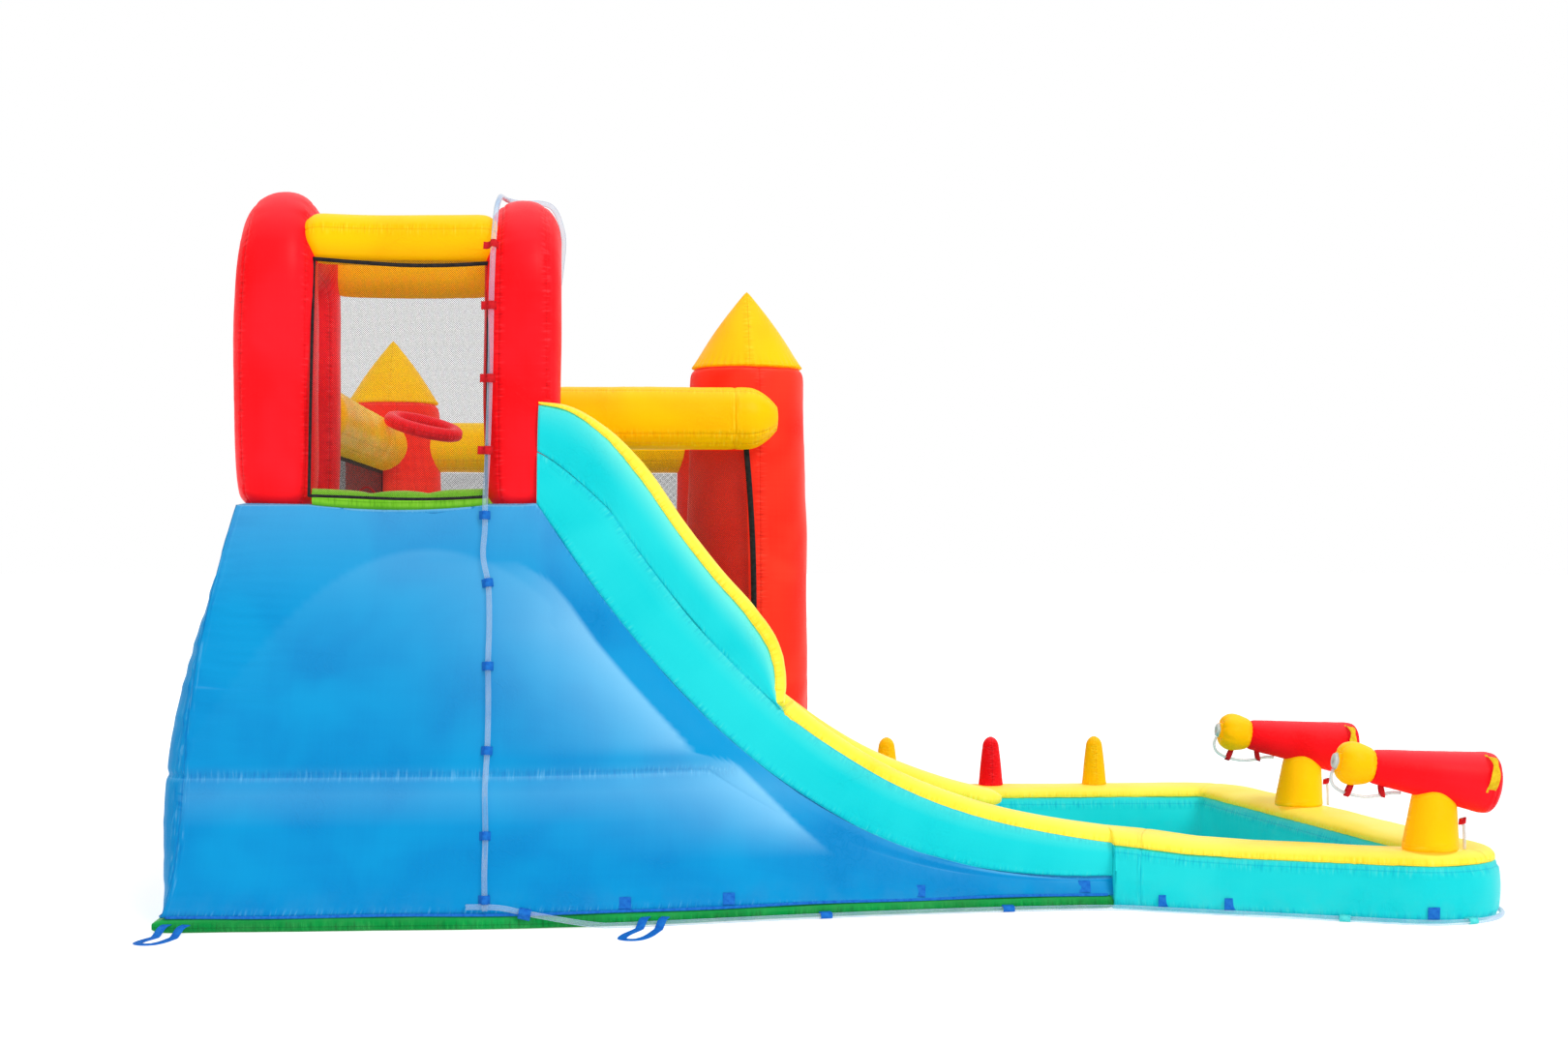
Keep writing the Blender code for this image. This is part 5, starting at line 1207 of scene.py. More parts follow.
def netSheet(name, foot, head, height, replaces, seed, drop=None):
    # A net from a line at its foot to one at its head, bellied a little between its bindings
    low, high = height
    bottom = curve([point + (low,) for point in foot], 0.03)
    top = np.asarray([point + (high,) for point in head], float)
    if drop is not None:
        top[:, 2] = high - np.array(drop)
    top = curveAt(top, measure(top), np.linspace(0, measure(top)[-1], len(bottom)))
    grid = np.array([bottom * (1 - t) + top * t for t in np.linspace(0, 1, 26)])
    normal, _ = normalsOf(grid, False, False)
    u = np.linspace(0, 1, grid.shape[1])[None, :]
    v = np.linspace(0, 1, grid.shape[0])[:, None]
    lift = 0.006 * np.sin(math.pi * u) * np.sin(math.pi * v) * noise2(u * 3 + 0 * v, v * 3 + 0 * u, seed)
    grid = grid + normal * lift[..., None]
    item = skin(name, grid, "black netting", wrapV=False, facing=(0.3, -1, 0))
    placed(item, (replaces,))


def binding(name, path, across, width, thickness=0.004, step=0.012):
    ribbon(name, path, across, width, thickness, "black binding", step=step)


def makeTowerNets():
    y = legNear - 0.055
    left, right = -1.508, -0.921
    netSheet("netTowerNear", [(left, y - 0.103), (right, y - 0.103)], [(left, y), (right, y)], (1.400, 2.20),
             "tower_net_near", 3)
    binding("bindTowerTop", [(left - 0.004, y - 0.006, 2.202), (-1.35, y - 0.010, 2.190), (-1.2, y - 0.010, 2.182),
                             (-1.05, y - 0.008, 2.184), (right + 0.004, y - 0.006, 2.192)], (0, 0, 1), 0.013)
    for name, x, inward, head in (("bindTowerLeft", left, 1, 2.2), ("bindTowerRight", right, -1, 2.19)):
        binding(name, [(x + inward * 0.003, y - 0.105, 1.402), (x + inward * 0.002, y - 0.056, 1.8),
                       (x + inward * 0.003, y - 0.004, head)], (1, 0, 0), 0.010)
    binding("bindTowerFoot", [(left, y - 0.106, 1.404), (-1.38, y - 0.106, 1.400), (-1.21, y - 0.106, 1.394),
                              (-1.05, y - 0.106, 1.395), (right, y - 0.106, 1.402)], (0, 0, 1), 0.010)
    # net in the back arch, rounded where the arch bends
    near, far, foot, top = -1.453, -0.932, 1.382, 2.154
    ys = np.linspace(near, far, 20)
    line = [(archX(archBackX, v), v) for v in ys]
    netSheet("netTowerBack", line, line, (foot, top), "tower_net_back", 5,
             [insetOf(min(v - near, far - v), 0.055) for v in ys])
    binding("bindBackFoot", [(x + 0.004, v, foot + 0.006) for x, v in line], (0, 0, 1), 0.014)


def makeRoomNets():
    low, high = 0.302, 1.617
    start, stop, y = -0.716, 0.032, nearRailY
    farLine = [(-1.379, farRailY), (-0.214, farRailY)]
    backLine = [(backRailX, -0.603), (backRailX, 1.676)]
    netSheet("netNear", [(start, y), (stop, y)], [(start, y), (0.006, y)], (low, high), "net_near",
             7)
    binding("bindNearRight", [(0.006, y - 0.006, high + 0.01), (0.018, y - 0.010, 1.48), (0.031, y - 0.012, 1.25),
                              (0.036, y - 0.010, 0.98), (0.034, y - 0.008, 0.6), (0.032, y - 0.006, low)],
            (1, 0, 0), 0.022, 0.005)
    binding("bindNearFoot", [(start, y - 0.004, low + 0.008), (stop, y - 0.004, low + 0.008)], (0, 0, 1), 0.018)
    netSheet("netFar", farLine, farLine, (low, high), "net_far", 9)
    netSheet("netBack", backLine, backLine, (low, high), "net_back", 11)
    x = backRailX + 0.004
    for name, path, across in (
            ("bindFarFoot", [(-1.379, 1.906, low + 0.008), (-0.214, 1.906, low + 0.008)], (0, 0, 1)),
            ("bindBackTop", [(x, -0.636, high - 0.006), (x, 1.676, high - 0.006)], (0, 0, 1)),
            ("bindBackBase", [(x, -0.603, low + 0.008), (x, 1.676, low + 0.008)], (0, 0, 1)),
            ("bindBackNear", [(x, -0.594, low), (x, -0.594, 1.0), (x, -0.594, high)], (0, 1, 0)),
            ("bindBackFar", [(x, 1.667, low), (x, 1.667, 1.0), (x, 1.667, high)], (0, 1, 0))):
        binding(name, path, across, 0.018, step=0.04)


makeTowerNets()
makeRoomNets()
print("nets made")


# bounce room
def makeBounceFloor():
    left, right = bounceLeft + 0.001, bounceRight - 0.001
    pitch = (right - left) / 10
    seamXs = [left + pitch * k for k in range(1, 10)]
    xs = closerEnds(left, right, (0.0, 0.004, 0.012, 0.025, 0.042, 0.065), 0.09, 130)

    def inset(x, radius):
        return insetOf(min(x - left, right - x), radius)

    grid = slabGrid(xs, lambda x: bounceNear + 0.001 + inset(x, 0.09),
                    lambda x: bounceFar - 0.001 - inset(x, 0.09), lambda x: 0.0125 + inset(x, 0.045) * 0.5,
                    lambda x: floorHeight - 0.001 - inset(x, 0.045),
                    0.05, seamXs, 0.030, 90)
    # painted light: the floor's top face is a little paler
    glow = np.clip((grid[..., 2] - 0.28) / 0.03, 0, 1) * 0.15
    rows = [int(np.argmin(abs(xs - s))) for s in seamXs]
    chamber("bounceFloor", grid, "cyan fabric", ("bounce_floor", "floor_baffle"), seamRows=rows, seamColumns=(4,),
            glow=glow, gather=0.0022, pitch=0.035, reach=0.05, groove=0.002, dent=0.003, seed=120)


def makeColumns():
    foot = floorHeight - 0.004
    for label, (cx, cy) in columnPlaces.items():
        angles, marks = anglesFor(2 * math.pi * columnRadius, 0.022, (10, 100, 190, 280))
        zs, rows = spread(columnHeight - foot, 0.016, (0.004, columnHeight - foot - 0.004),
                          beside=(0.004, 0.010, 0.018, 0.028, 0.04))
        rings = []
        for z in zs + foot:
            share = (z - foot) / (columnHeight - foot)
            r = columnRadius + (columnNeck - columnRadius) * max(share - 0.6, 0.0) / 0.4
            r += 0.007 * (1 - share) ** 0.5
            toEnd = min(z - foot, columnHeight - z)
            r *= 1 - 0.075 * math.exp(-(toEnd / 0.016) ** 1.2)
            rings.append([(cx + r * math.cos(a), cy + r * math.sin(a), z) for a in angles])
        chamber("columnSkin_" + label, np.array(rings), "tower red fabric", ("column_" + label,),
                seamColumns=marks, seamRows=rows, dome=(0.0, 0.006), gather=0.0032, pitch=0.034, reach=0.045,
                groove=0.0026, dent=0.0045, seed=130 + len(label))


def makeRails():
    radius = railRadius
    angles, marks = anglesFor(2 * math.pi * radius, 0.018, (239, 326, 121, 214))
    sewn = {"gather": 0.0034, "reach": 0.034, "groove": 0.003, "dent": 0.003, "seamColumns": marks}
    # near rail: along X with a free rounded end
    start, stop = -0.752, 0.125
    xs, rows = spread(stop - start, 0.014, (stop - start - 0.165,), beside=(0.004, 0.010))
    rings = []
    for x in xs:
        toEnd = stop - start - x
        r = radius * (1 - max(1 - toEnd / 0.13, 0.0) ** 2.2 * 0.62) * (1 - 0.16 * math.exp(-(x / 0.018) ** 1.4))
        rings.append([(start + x, nearRailY + r * math.cos(a), railHeight + r * math.sin(a)) for a in angles])
    chamber("railNear", np.array(rings), "yellow fabric", ("rail_near",), seamRows=rows[:1], dome=(0.012, 0.004),
            pitch=0.024, seed=140, **sewn)
    # back rail, along Y
    start, stop = -0.640, 1.745
    ys, rows = spread(stop - start, 0.018, (0.6, 1.5), beside=(0.004, 0.012))
    rings = []
    for y in ys:
        r = radius * (1 - 0.14 * math.exp(-(y / 0.02) ** 1.4))
        rings.append([(backRailX - r * math.cos(a), start + y, railHeight + r * math.sin(a)) for a in angles])
    chamber("railBack", np.array(rings), "yellow fabric", ("rail_back",), seamRows=rows, dome=(0.008, 0.0),
            pitch=0.026, seed=144, **sewn)
    # far rail, along X
    start, stop = -1.451, -0.142
    xs, _ = spread(stop - start, 0.018)
    rings = [[(start + x, farRailY + radius * math.cos(a), railHeight + radius * math.sin(a)) for a in angles]
             for x in xs]
    chamber("railFar", np.array(rings), "yellow fabric", ("rail_far",), dome=(0.0, 0.0), pitch=0.026, seed=148,
            **sewn)


def makeHoop():
    look = {"radius": 0.148, "tube": 0.031, "y": 0.90, "droop": 14.0, "seat": 33.0, "roll": 10.0}
    droop, seat = math.radians(look["droop"]), math.radians(look["seat"])
    reach = railRadius + look["tube"] + gap
    centre = np.array((backRailX + reach * math.cos(seat) + look["radius"] * math.cos(droop), look["y"],
                       railHeight + reach * math.sin(seat) - look["radius"] * math.sin(droop)))
    turn = np.array(Matrix.Rotation(droop, 3, "Y") @ Matrix.Rotation(math.radians(look["roll"]), 3, "X"))
    rings = []
    for around in turnsOf(150):
        ring = []
        for a in turnsOf(24):
            r = look["radius"] + look["tube"] * math.cos(a)
            flat = np.array((r * math.cos(around), r * math.sin(around), look["tube"] * math.sin(a)))
            ring.append(centre + turn @ flat)
        rings.append(ring)
    chamber("hoopRing", np.array(rings), "red fabric", ("hoop",), wrapU=True, seamColumns=(0, 12), gather=0.0034,
            pitch=0.014, reach=0.022, groove=0.0022, dent=0.0012, seed=150)


climbLook = {"run": 0.52, "thick": 0.12, "half": 0.26, "lip": 0.05, "edge": 0.022, "ribs": 4, "ribDepth": 0.012}
holdSewn = {"gather": 0.0014, "pitch": 0.012, "reach": 0.01, "groove": 0.001, "dent": 0.0004}


def makeClimb():
    # Leaning pad up to the platform, with sewn-on holds
    look = climbLook
    middle = (archBackX + archFrontX) / 2 - archSkew
    topY, topZ, foot = bounceNear + 0.001, deckHeight + 0.03, floorHeight + 0.001
    run, thick, half, lip = look["run"], look["thick"], look["half"], look["lip"]
    xs = closerEnds(0.0, 2 * half, (0.0, 0.004, 0.012, 0.022), 0.04, 40)
    rings = []
    for x in xs:
        tuck = insetOf(min(x, 2 * half - x), look["edge"])
        ring = [(topY + tuck, z) for z in np.linspace(foot + tuck, topZ - 0.01 - tuck, 20)]
        ring += [(topY + 0.02 + tuck * 0.5, topZ - tuck), (topY + thick - 0.035, topZ - tuck),
                 (topY + thick - 0.01 - tuck, topZ - 0.012 - tuck)]
        for t in np.linspace(0, 1, 60):
            y = topY + thick + run * t
            z = topZ - 0.02 + (foot + lip - topZ + 0.02) * t
            crown = look["ribDepth"] * (abs(math.sin(math.pi * t * look["ribs"])) ** 0.6 - 1) - tuck
            ring.append((y + crown * 0.9, z + crown * 0.42))
        ring += [(topY + run + thick - tuck, foot + 0.02), (topY + run + thick - 0.01 - tuck, foot + tuck)]
        ring += [(y, foot + tuck) for y in np.linspace(topY + run + thick - 0.05, topY + 0.03 + tuck, 8)]
        rings.append([(middle - half + x, y, z) for y, z in ring])
    chamber("climbPad", np.array(rings), "cyan fabric", ("climbing_wall",), seamColumns=(23, 38, 53, 68),
            gather=0.0026, pitch=0.028, reach=0.035, groove=0.002, dent=0.002, seed=160)
    out = unit(np.array((0.0, 1.09, 0.52)))
    down = unit(np.array((0.0, run, foot + lip - topZ + 0.02)))
    acrossPad = np.array((1.0, 0.0, 0.0))
    profile = ((-0.012, 0.034), (0.006, 0.036), (0.020, 0.035), (0.030, 0.029), (0.036, 0.018), (0.038, 0.005))
    items = []
    for index in range(6):
        share = 0.18 + 0.13 * index
        spot = np.array((middle + (0.12 if index % 2 else -0.12), topY + thick + run * share,
                         topZ - 0.02 + (foot + 0.07 - topZ) * share))
        rings = [[spot + out * lift + radius * (acrossPad * math.cos(a) + down * math.sin(a))
                  for a in turnsOf(20)] for lift, radius in profile]
        moved, near = puckered(np.array(rings), False, True, [1], [], dict(holdSewn, seed=170 + index))
        items.append(skin("climbHold_%d" % (index + 1), moved, "yellow fabric", near=near))
    holds = joined("climbHolds", items)
    placed(holds)


def makeStep():
    left, right, near, far = bounceRight + 0.001, bounceRight + 0.361, 0.51, 1.41
    xs = closerEnds(left, right, (0.0, 0.003, 0.009, 0.018, 0.030, 0.045), 0.06, 18)

    def corner(x):
        return insetOf(min(x - left, right - x), 0.05)

    grid = slabGrid(xs, lambda x: near + corner(x), lambda x: far - corner(x), lambda x: 0.001 + corner(x) * 0.3,
                    lambda x: 0.189 - corner(x) * 0.7, 0.05, (), 0.0, 60)
    chamber("entranceStep", grid, "yellow fabric", ("entrance_step",), seamColumns=(8,), gather=0.003, pitch=0.028,
            reach=0.03, groove=0.002, dent=0.003, seed=175)


makeBounceFloor()
makeColumns()
makeRails()
makeHoop()
makeClimb()
makeStep()
print("bounce room made")


# gored cones by Geometry Nodes, for the turrets and the pegs
def coneTree():
    # Grid wrapped into a cone: foot and tip radius, straight side with a small belly, folds that die out upwards
    group = bpy.data.node_groups.new("gored cone", "GeometryNodeTree")
    face = group.interface
    face.new_socket(name="Geometry", in_out="INPUT", socket_type="NodeSocketGeometry")
    for label, value in (("Foot Radius", 0.222), ("Tip Radius", 0.006), ("Height", 0.315), ("Belly", 0.02),
                         ("Round", 0.02), ("Folds", 44.0), ("Fold Depth", 0.004), ("Dome", 0.97), ("Place X", 0.0),
                         ("Place Y", 0.0), ("Foot Z", 1.955)):
        face.new_socket(name=label, in_out="INPUT", socket_type="NodeSocketFloat").default_value = value
    face.new_socket(name="Look", in_out="INPUT", socket_type="NodeSocketMaterial")
    face.new_socket(name="Geometry", in_out="OUTPUT", socket_type="NodeSocketGeometry")
    start, end = group.nodes.new("NodeGroupInput"), group.nodes.new("NodeGroupOutput")

    def put(kind, inputs=None, **settings):
        return node(group, kind, inputs, **settings)

    def sums(operation, a, b=0.0, c=0.0):
        return put("ShaderNodeMath", {0: a, 1: b, 2: c}, operation=operation).outputs[0]

    def given(label):
        return start.outputs[label]

    def oneMinus(value):
        return sums("SUBTRACT", 1.0, value)

    def shareOf(value, full):
        return sums("MINIMUM", sums("DIVIDE", value, full), 1.0)

    sheet = put("GeometryNodeMeshGrid", {"Size X": 1.0, "Size Y": 1.0, "Vertices X": 181, "Vertices Y": 46})
    place = put("ShaderNodeSeparateXYZ", {0: put("GeometryNodeInputPosition").outputs[0]})
    u, v = sums("ADD", place.outputs[0], 0.5), sums("ADD", place.outputs[1], 0.5)
    turn = sums("MULTIPLY", u, 2 * math.pi)
    cosine, sine = sums("COSINE", turn), sums("SINE", turn)
    rise = sums("POWER", v, 1.25)
    straight = sums("MULTIPLY_ADD", oneMinus(rise), sums("SUBTRACT", given("Foot Radius"), given("Tip Radius")),
                    given("Tip Radius"))
    belly = sums("MULTIPLY", sums("SINE", sums("MULTIPLY", rise, math.pi)), given("Belly"))
    # rounded foot and tip
    tuck = sums("MULTIPLY", sums("POWER", oneMinus(shareOf(v, 0.05)), 2.0), given("Round"))
    blunt = sums("DIVIDE", sums("SUBTRACT", v, given("Dome")), oneMinus(given("Dome")))
    blunt = sums("MULTIPLY", sums("POWER", sums("MAXIMUM", blunt, 0.0), 2.0), 0.96)
    radius = sums("SUBTRACT", sums("ADD", straight, belly), tuck)
    radius = sums("MULTIPLY", radius, sums("SQRT", oneMinus(blunt)))
    # folds round the foot
    wave = sums("SINE", sums("MULTIPLY", turn, given("Folds")))
    ring = put("ShaderNodeCombineXYZ", {0: cosine, 1: sine, 2: sums("MULTIPLY", v, 3.0)})
    patchy = put("ShaderNodeTexNoise", {"Vector": ring.outputs[0], "Scale": 3.0, "Detail": 2.0}).outputs[0]
    fade = sums("POWER", oneMinus(shareOf(v, 0.30)), 1.6)
    fold = sums("MULTIPLY", sums("MULTIPLY", wave, patchy), sums("MULTIPLY", fade, given("Fold Depth")))
    radius = sums("ADD", radius, fold)
    point = put("ShaderNodeCombineXYZ", {0: sums("MULTIPLY_ADD", cosine, radius, given("Place X")),
                                         1: sums("MULTIPLY_ADD", sine, radius, given("Place Y")),
                                         2: sums("MULTIPLY_ADD", rise, given("Height"), given("Foot Z"))})
    cloth = put("ShaderNodeCombineXYZ", {0: u, 1: sums("MULTIPLY", v, 0.4)}).outputs[0]
    store = put("GeometryNodeStoreNamedAttribute",
                {"Geometry": sheet.outputs["Mesh"], "Name": "cloth", "Value": cloth},
                data_type="FLOAT2", domain="CORNER")
    seamNear = oneMinus(shareOf(sums("ABSOLUTE", sums("SUBTRACT", v, 0.035)), 0.1))
    gore = sums("ABSOLUTE", sums("SINE", sums("MULTIPLY", turn, 2.0)))
    goreNear = oneMinus(shareOf(sums("MULTIPLY", gore, radius), 0.06))
    marks = put("GeometryNodeStoreNamedAttribute", {"Geometry": store.outputs[0], "Name": "near",
                                                    "Value": sums("MAXIMUM", seamNear, goreNear)},
                data_type="FLOAT", domain="POINT")
    moved = put("GeometryNodeSetPosition", {"Geometry": marks.outputs[0], "Position": point.outputs[0]})
    merged = put("GeometryNodeMergeByDistance", {"Geometry": moved.outputs[0], "Distance": 0.00002})
    smooth = put("GeometryNodeSetShadeSmooth", {0: merged.outputs[0]})
    whole = put("GeometryNodeRealizeInstances", {0: smooth.outputs[0]})
    dressed = put("GeometryNodeSetMaterial", {"Geometry": whole.outputs[0], "Material": given("Look")})
    group.links.new(dressed.outputs[0], end.inputs[0])
    return group


def fromNodes(name, group, values):
    # Runs a node tree on a plain object and keeps the result as a plain mesh
    carrier = bpy.data.objects.new(name + "Carrier", bpy.data.meshes.new(name + "Carrier"))
    scene.collection.objects.link(carrier)
    change = carrier.modifiers.new("nodes", "NODES")
    change.node_group = group
    for item in group.interface.items_tree:
        if item.item_type == "SOCKET" and item.in_out == "INPUT" and item.name in values:
            change[item.identifier] = values[item.name]
    bpy.context.view_layer.update()
    solved = carrier.evaluated_get(bpy.context.evaluated_depsgraph_get())
    mesh = bpy.data.meshes.new_from_object(solved)
    mesh.name = name
    bpy.data.objects.remove(carrier, do_unlink=True)
    item = bpy.data.objects.new(name, mesh)
    scene.collection.objects.link(item)
    return item


def closeOff(item):
    # Fills the open foot and tip, and turns every face outwards
    work = bmesh.new()
    work.from_mesh(item.data)
    rims = [e for e in work.edges if e.is_boundary]
    if rims:
        bmesh.ops.holes_fill(work, edges=rims, sides=0)
    bmesh.ops.recalc_face_normals(work, faces=work.faces)
    work.to_mesh(item.data)
    work.free()
    item.data.shade_smooth()


cones = coneTree()
turretLook = {"Foot Radius": 0.222, "Tip Radius": 0.004, "Height": 0.314, "Belly": 0.012, "Round": 0.012,
              "Folds": 46.0, "Fold Depth": 0.009}
pegLook = {"Foot Radius": 0.051, "Tip Radius": 0.029, "Height": 0.2045, "Belly": 0.002, "Round": 0.004,
           "Folds": 22.0, "Fold Depth": 0.003, "Dome": 0.86}


def makeCone(name, settings, x, y, foot, look, replaces):
    values = dict(settings, **{"Place X": x, "Place Y": y, "Foot Z": foot, "Look": looks[look]})
    item = fromNodes(name, cones, values)
    closeOff(item)
    placed(item, (replaces,))


for label, (x, y) in columnPlaces.items():
    makeCone("turretSkin_" + label, turretLook, x, y, columnHeight + 0.0005, "yellow fabric", "turret_" + label)
for index, look in enumerate(("yellow fabric", "red fabric", "yellow fabric")):
    makeCone("peg_%d_skin" % (index + 1), pegLook, pegFirst + pegPitch * index, rimFar, capTop + 0.0004, look,
             "peg_%d" % (index + 1))
print("turrets and pegs made")


# splash pool
poolCorners = [np.array(place) for place in (
    (exitX + gap, -1.55), (2.39, -2.05), (2.07, rimFar), (rimLeft, rimFar),
    (rimLeft, laneFar + farFlare + gap * 12))]


def rimPath(step=0.012):
    # Centreline of the rim with rounded corners, its outward directions, and where its corner seams are
    points, radius, seams = [poolCorners[0]], 0.16, []

    def runTo(last):
        first = points[-1]
        count = max(int(np.linalg.norm(last - first) / step), 2)
        points.extend(first + (last - first) * t for t in np.linspace(0, 1, count + 1)[1:])

    for before, corner, after in zip(poolCorners[:-2], poolCorners[1:-1], poolCorners[2:]):
        back, ahead = unit(before - corner), unit(after - corner)
        half = math.acos(float(np.dot(back, ahead))) / 2
        centre = corner + unit(back + ahead) * radius / math.sin(half)
        first, last = corner + back * radius / math.tan(half), corner + ahead * radius / math.tan(half)
        a0, a1 = math.atan2(*(first - centre)[::-1]), math.atan2(*(last - centre)[::-1])
        a1 += 2 * math.pi if a1 < a0 else 0.0
        a0 += 2 * math.pi if a1 - a0 > math.pi else 0.0
        runTo(first)
        seams.append(len(points) + 6)
        points += [centre + radius * np.array((math.cos(a), math.sin(a))) for a in np.linspace(a0, a1, 14)[1:]]
    runTo(poolCorners[-1])
    points = np.array(points)
    ahead = unit(np.gradient(points, axis=0))
    outward = np.stack((ahead[:, 1], -ahead[:, 0]), -1)
    # square to the slide's end at its start
    blend = np.clip(1 - measure(points)[:len(points)] / 0.16, 0, 1)[:, None]
    outward = outward * (1 - blend) + np.array((0.0, -1.08)) * blend
    return points, outward, seams


def rimGrid(section, path, outward):
    # The rim's first half metre slopes down from the height of the slide's wall
    tall = np.interp(measure(path)[:len(path)], (0.0, 0.13, 0.30, 0.50), (1.15, 1.11, 1.03, 1.0))
    return np.array([[(p[0] + n[0] * side, p[1] + n[1] * side, z * h) for side, z in section]
                     for p, n, h in zip(path, outward, tall)])


poolLook = {"bulge": 0.009, "capRise": 0.042, "capInset": 0.006}


def makePoolWall(path, outward, seamRow):
    half, top = poolWidth / 2, poolWallHeight
    outer = [(half - 0.016, 0.0), (half - 0.006, 0.004), (half, 0.016)]
    outer += [(half + poolLook["bulge"] * math.sin(math.pi * t) ** 0.8, 0.016 + (top - 0.036) * t)
              for t in np.linspace(0, 1, 20)[1:-1]]
    outer += [(half - 0.002, top - 0.020), (half - 0.008, top - 0.006), (half - 0.018, top)]
    section = outer + [(s, top) for s in np.linspace(half - 0.05, -half + 0.05, 6)]
    section += [(-s, z) for s, z in outer[::-1]] + [(s, 0.0) for s in np.linspace(-half + 0.06, half - 0.06, 5)]
    chamber("poolWall", rimGrid(section, path, outward), "cyan fabric", ("pool_wall",), seamRows=[seamRow],
            seamColumns=(2, 21, 33, 54), dome=(0.0, 0.0), gather=0.0044, pitch=0.022, reach=0.040, groove=0.0016,
            dent=0.0035, seed=180)


def makePoolCap(path, outward, seamRows):
    half, top = poolWidth / 2 - poolLook["capInset"], poolWallHeight
    crown = []
    for a in np.radians(np.linspace(-12, 192, 31)):
        c, s = math.cos(a), math.sin(a)
        rise = poolLook["capRise"] * max(math.copysign(abs(s) ** 0.75, s), -0.02)
        crown.append((half * math.copysign(abs(c) ** 0.55, c), top + 0.0005 + rise))
    crown += [(s, top - 0.001) for s in np.linspace(-half + 0.03, half - 0.03, 6)]
    chamber("poolCap", rimGrid(crown, path, outward), "rim yellow fabric", ("pool_cap",), seamRows=seamRows,
            seamColumns=(2, 28), dome=(0.0, 0.0), gather=0.0042, pitch=0.019, reach=0.030, groove=0.0014,
            dent=0.002, seed=184)


def makePoolFloor(path, outward):
    # Basin sheet: wrinkled where it is held by the rim
    inner = path - outward * (poolWidth / 2 - 0.004)
    slideFoot, leftEdge = inner[0], inner[-1]
    corner = np.array((slideFoot[0], leftEdge[1]))
    back = [leftEdge + (corner - leftEdge) * t for t in np.linspace(0, 1, 20)[1:]]
    side = [corner + (slideFoot - corner) * t for t in np.linspace(0, 1, 30)[1:-1]]
    loop = np.concatenate((inner, back, side))
    centre = np.array((1.45, -0.45))
    steps = np.concatenate(([0.004], np.linspace(0.07, 0.5, 7), np.linspace(0.55, 0.975, 24), [1.0]))
    grid = np.array([[(*(centre + (p - centre) * t), 0.0085) for p in loop] for t in steps])
    s = measure(loop)[:len(loop)][None, :]
    t = steps[:, None]
    lift = 0.004 * noise2(s / 0.06 + 0 * t, t * 3 + 0 * s, 190) * t ** 3
    lift += 0.002 * noise2(grid[..., 0] / 0.2, grid[..., 1] / 0.2, 191)
    grid[..., 2] += np.clip(lift, -0.004, 0.01)
    sheet = skin("poolFloor", grid, "cyan fabric", ends=(True, False), facing=(0, 0, 1))
    placed(sheet, ("pool_floor",))


def makePool():
    path, outward, seams = rimPath()
    near = int(np.argmin(abs(path[:, 0] - 1.33) + 9 * (path[:, 1] > -1.0)))
    makePoolWall(path, outward, near)
    makePoolCap(path, outward, [near] + seams)
    makePoolFloor(path, outward)


makePool()
print("pool made")


# water cannons
cannonLook = {"pleats": 9, "pleatDepth": 0.0030, "handlePlace": -0.158, "handleWidth": 0.030, "tip": 0.131,
              "neckRadius": 0.094, "neckTaper": 0.012, "neckLean": 0.016}
noseStart = barrelFront + 0.0006
noseTip = noseStart + cannonLook["tip"]


def onBarrel(place, forward, side, up):
    turn = Matrix.Rotation(math.radians(cannonRise), 4, "Y")
    return np.array(Vector((place[0], place[1], pivotHeight)) + turn @ Vector((-forward, side, up)))


def barrelRadius(forward):
    return barrelTail + (barrelMuzzle - barrelTail) * (barrelRear + forward) / (barrelFront + barrelRear)


def turnedGrid(place, profile, angles):
    return np.array([[onBarrel(place, f, r * math.cos(a), r * math.sin(a)) for a in angles] for f, r in profile])


def smoothProfile(knots, count):
    knots = np.array(knots)
    steps = measure(knots)
    return curveAt(knots, steps, np.linspace(0, steps[-1], count))


def makeBarrel(label, place, body, seed):
    # A tapered bolster, tight at the nose and round at the tail
    profile = smoothProfile((
        (-0.2095, 0.030), (-0.2085, 0.055), (-0.204, 0.078), (-0.196, 0.092), (-0.184, 0.1015), (-0.168, 0.1025),
        (-0.12, 0.0968), (0.0, 0.0818), (0.12, 0.0676), (0.19, 0.0592), (0.208, 0.0560), (0.2148, 0.0520)), 76)
    angles, marks = anglesFor(0.56, 0.011, (0, 72, 270))
    chamber("barrelSkin_" + label, turnedGrid(place, profile, angles), "red fabric", ("cannon_barrel_" + label,),
            body, seamColumns=marks, seamRows=(int(np.argmin(abs(profile[:, 0] + 0.180))),), dome=(0.001, 0.0),
            gather=0.0022, pitch=0.017, reach=0.020, groove=0.0016, dent=0.0016, seed=seed)


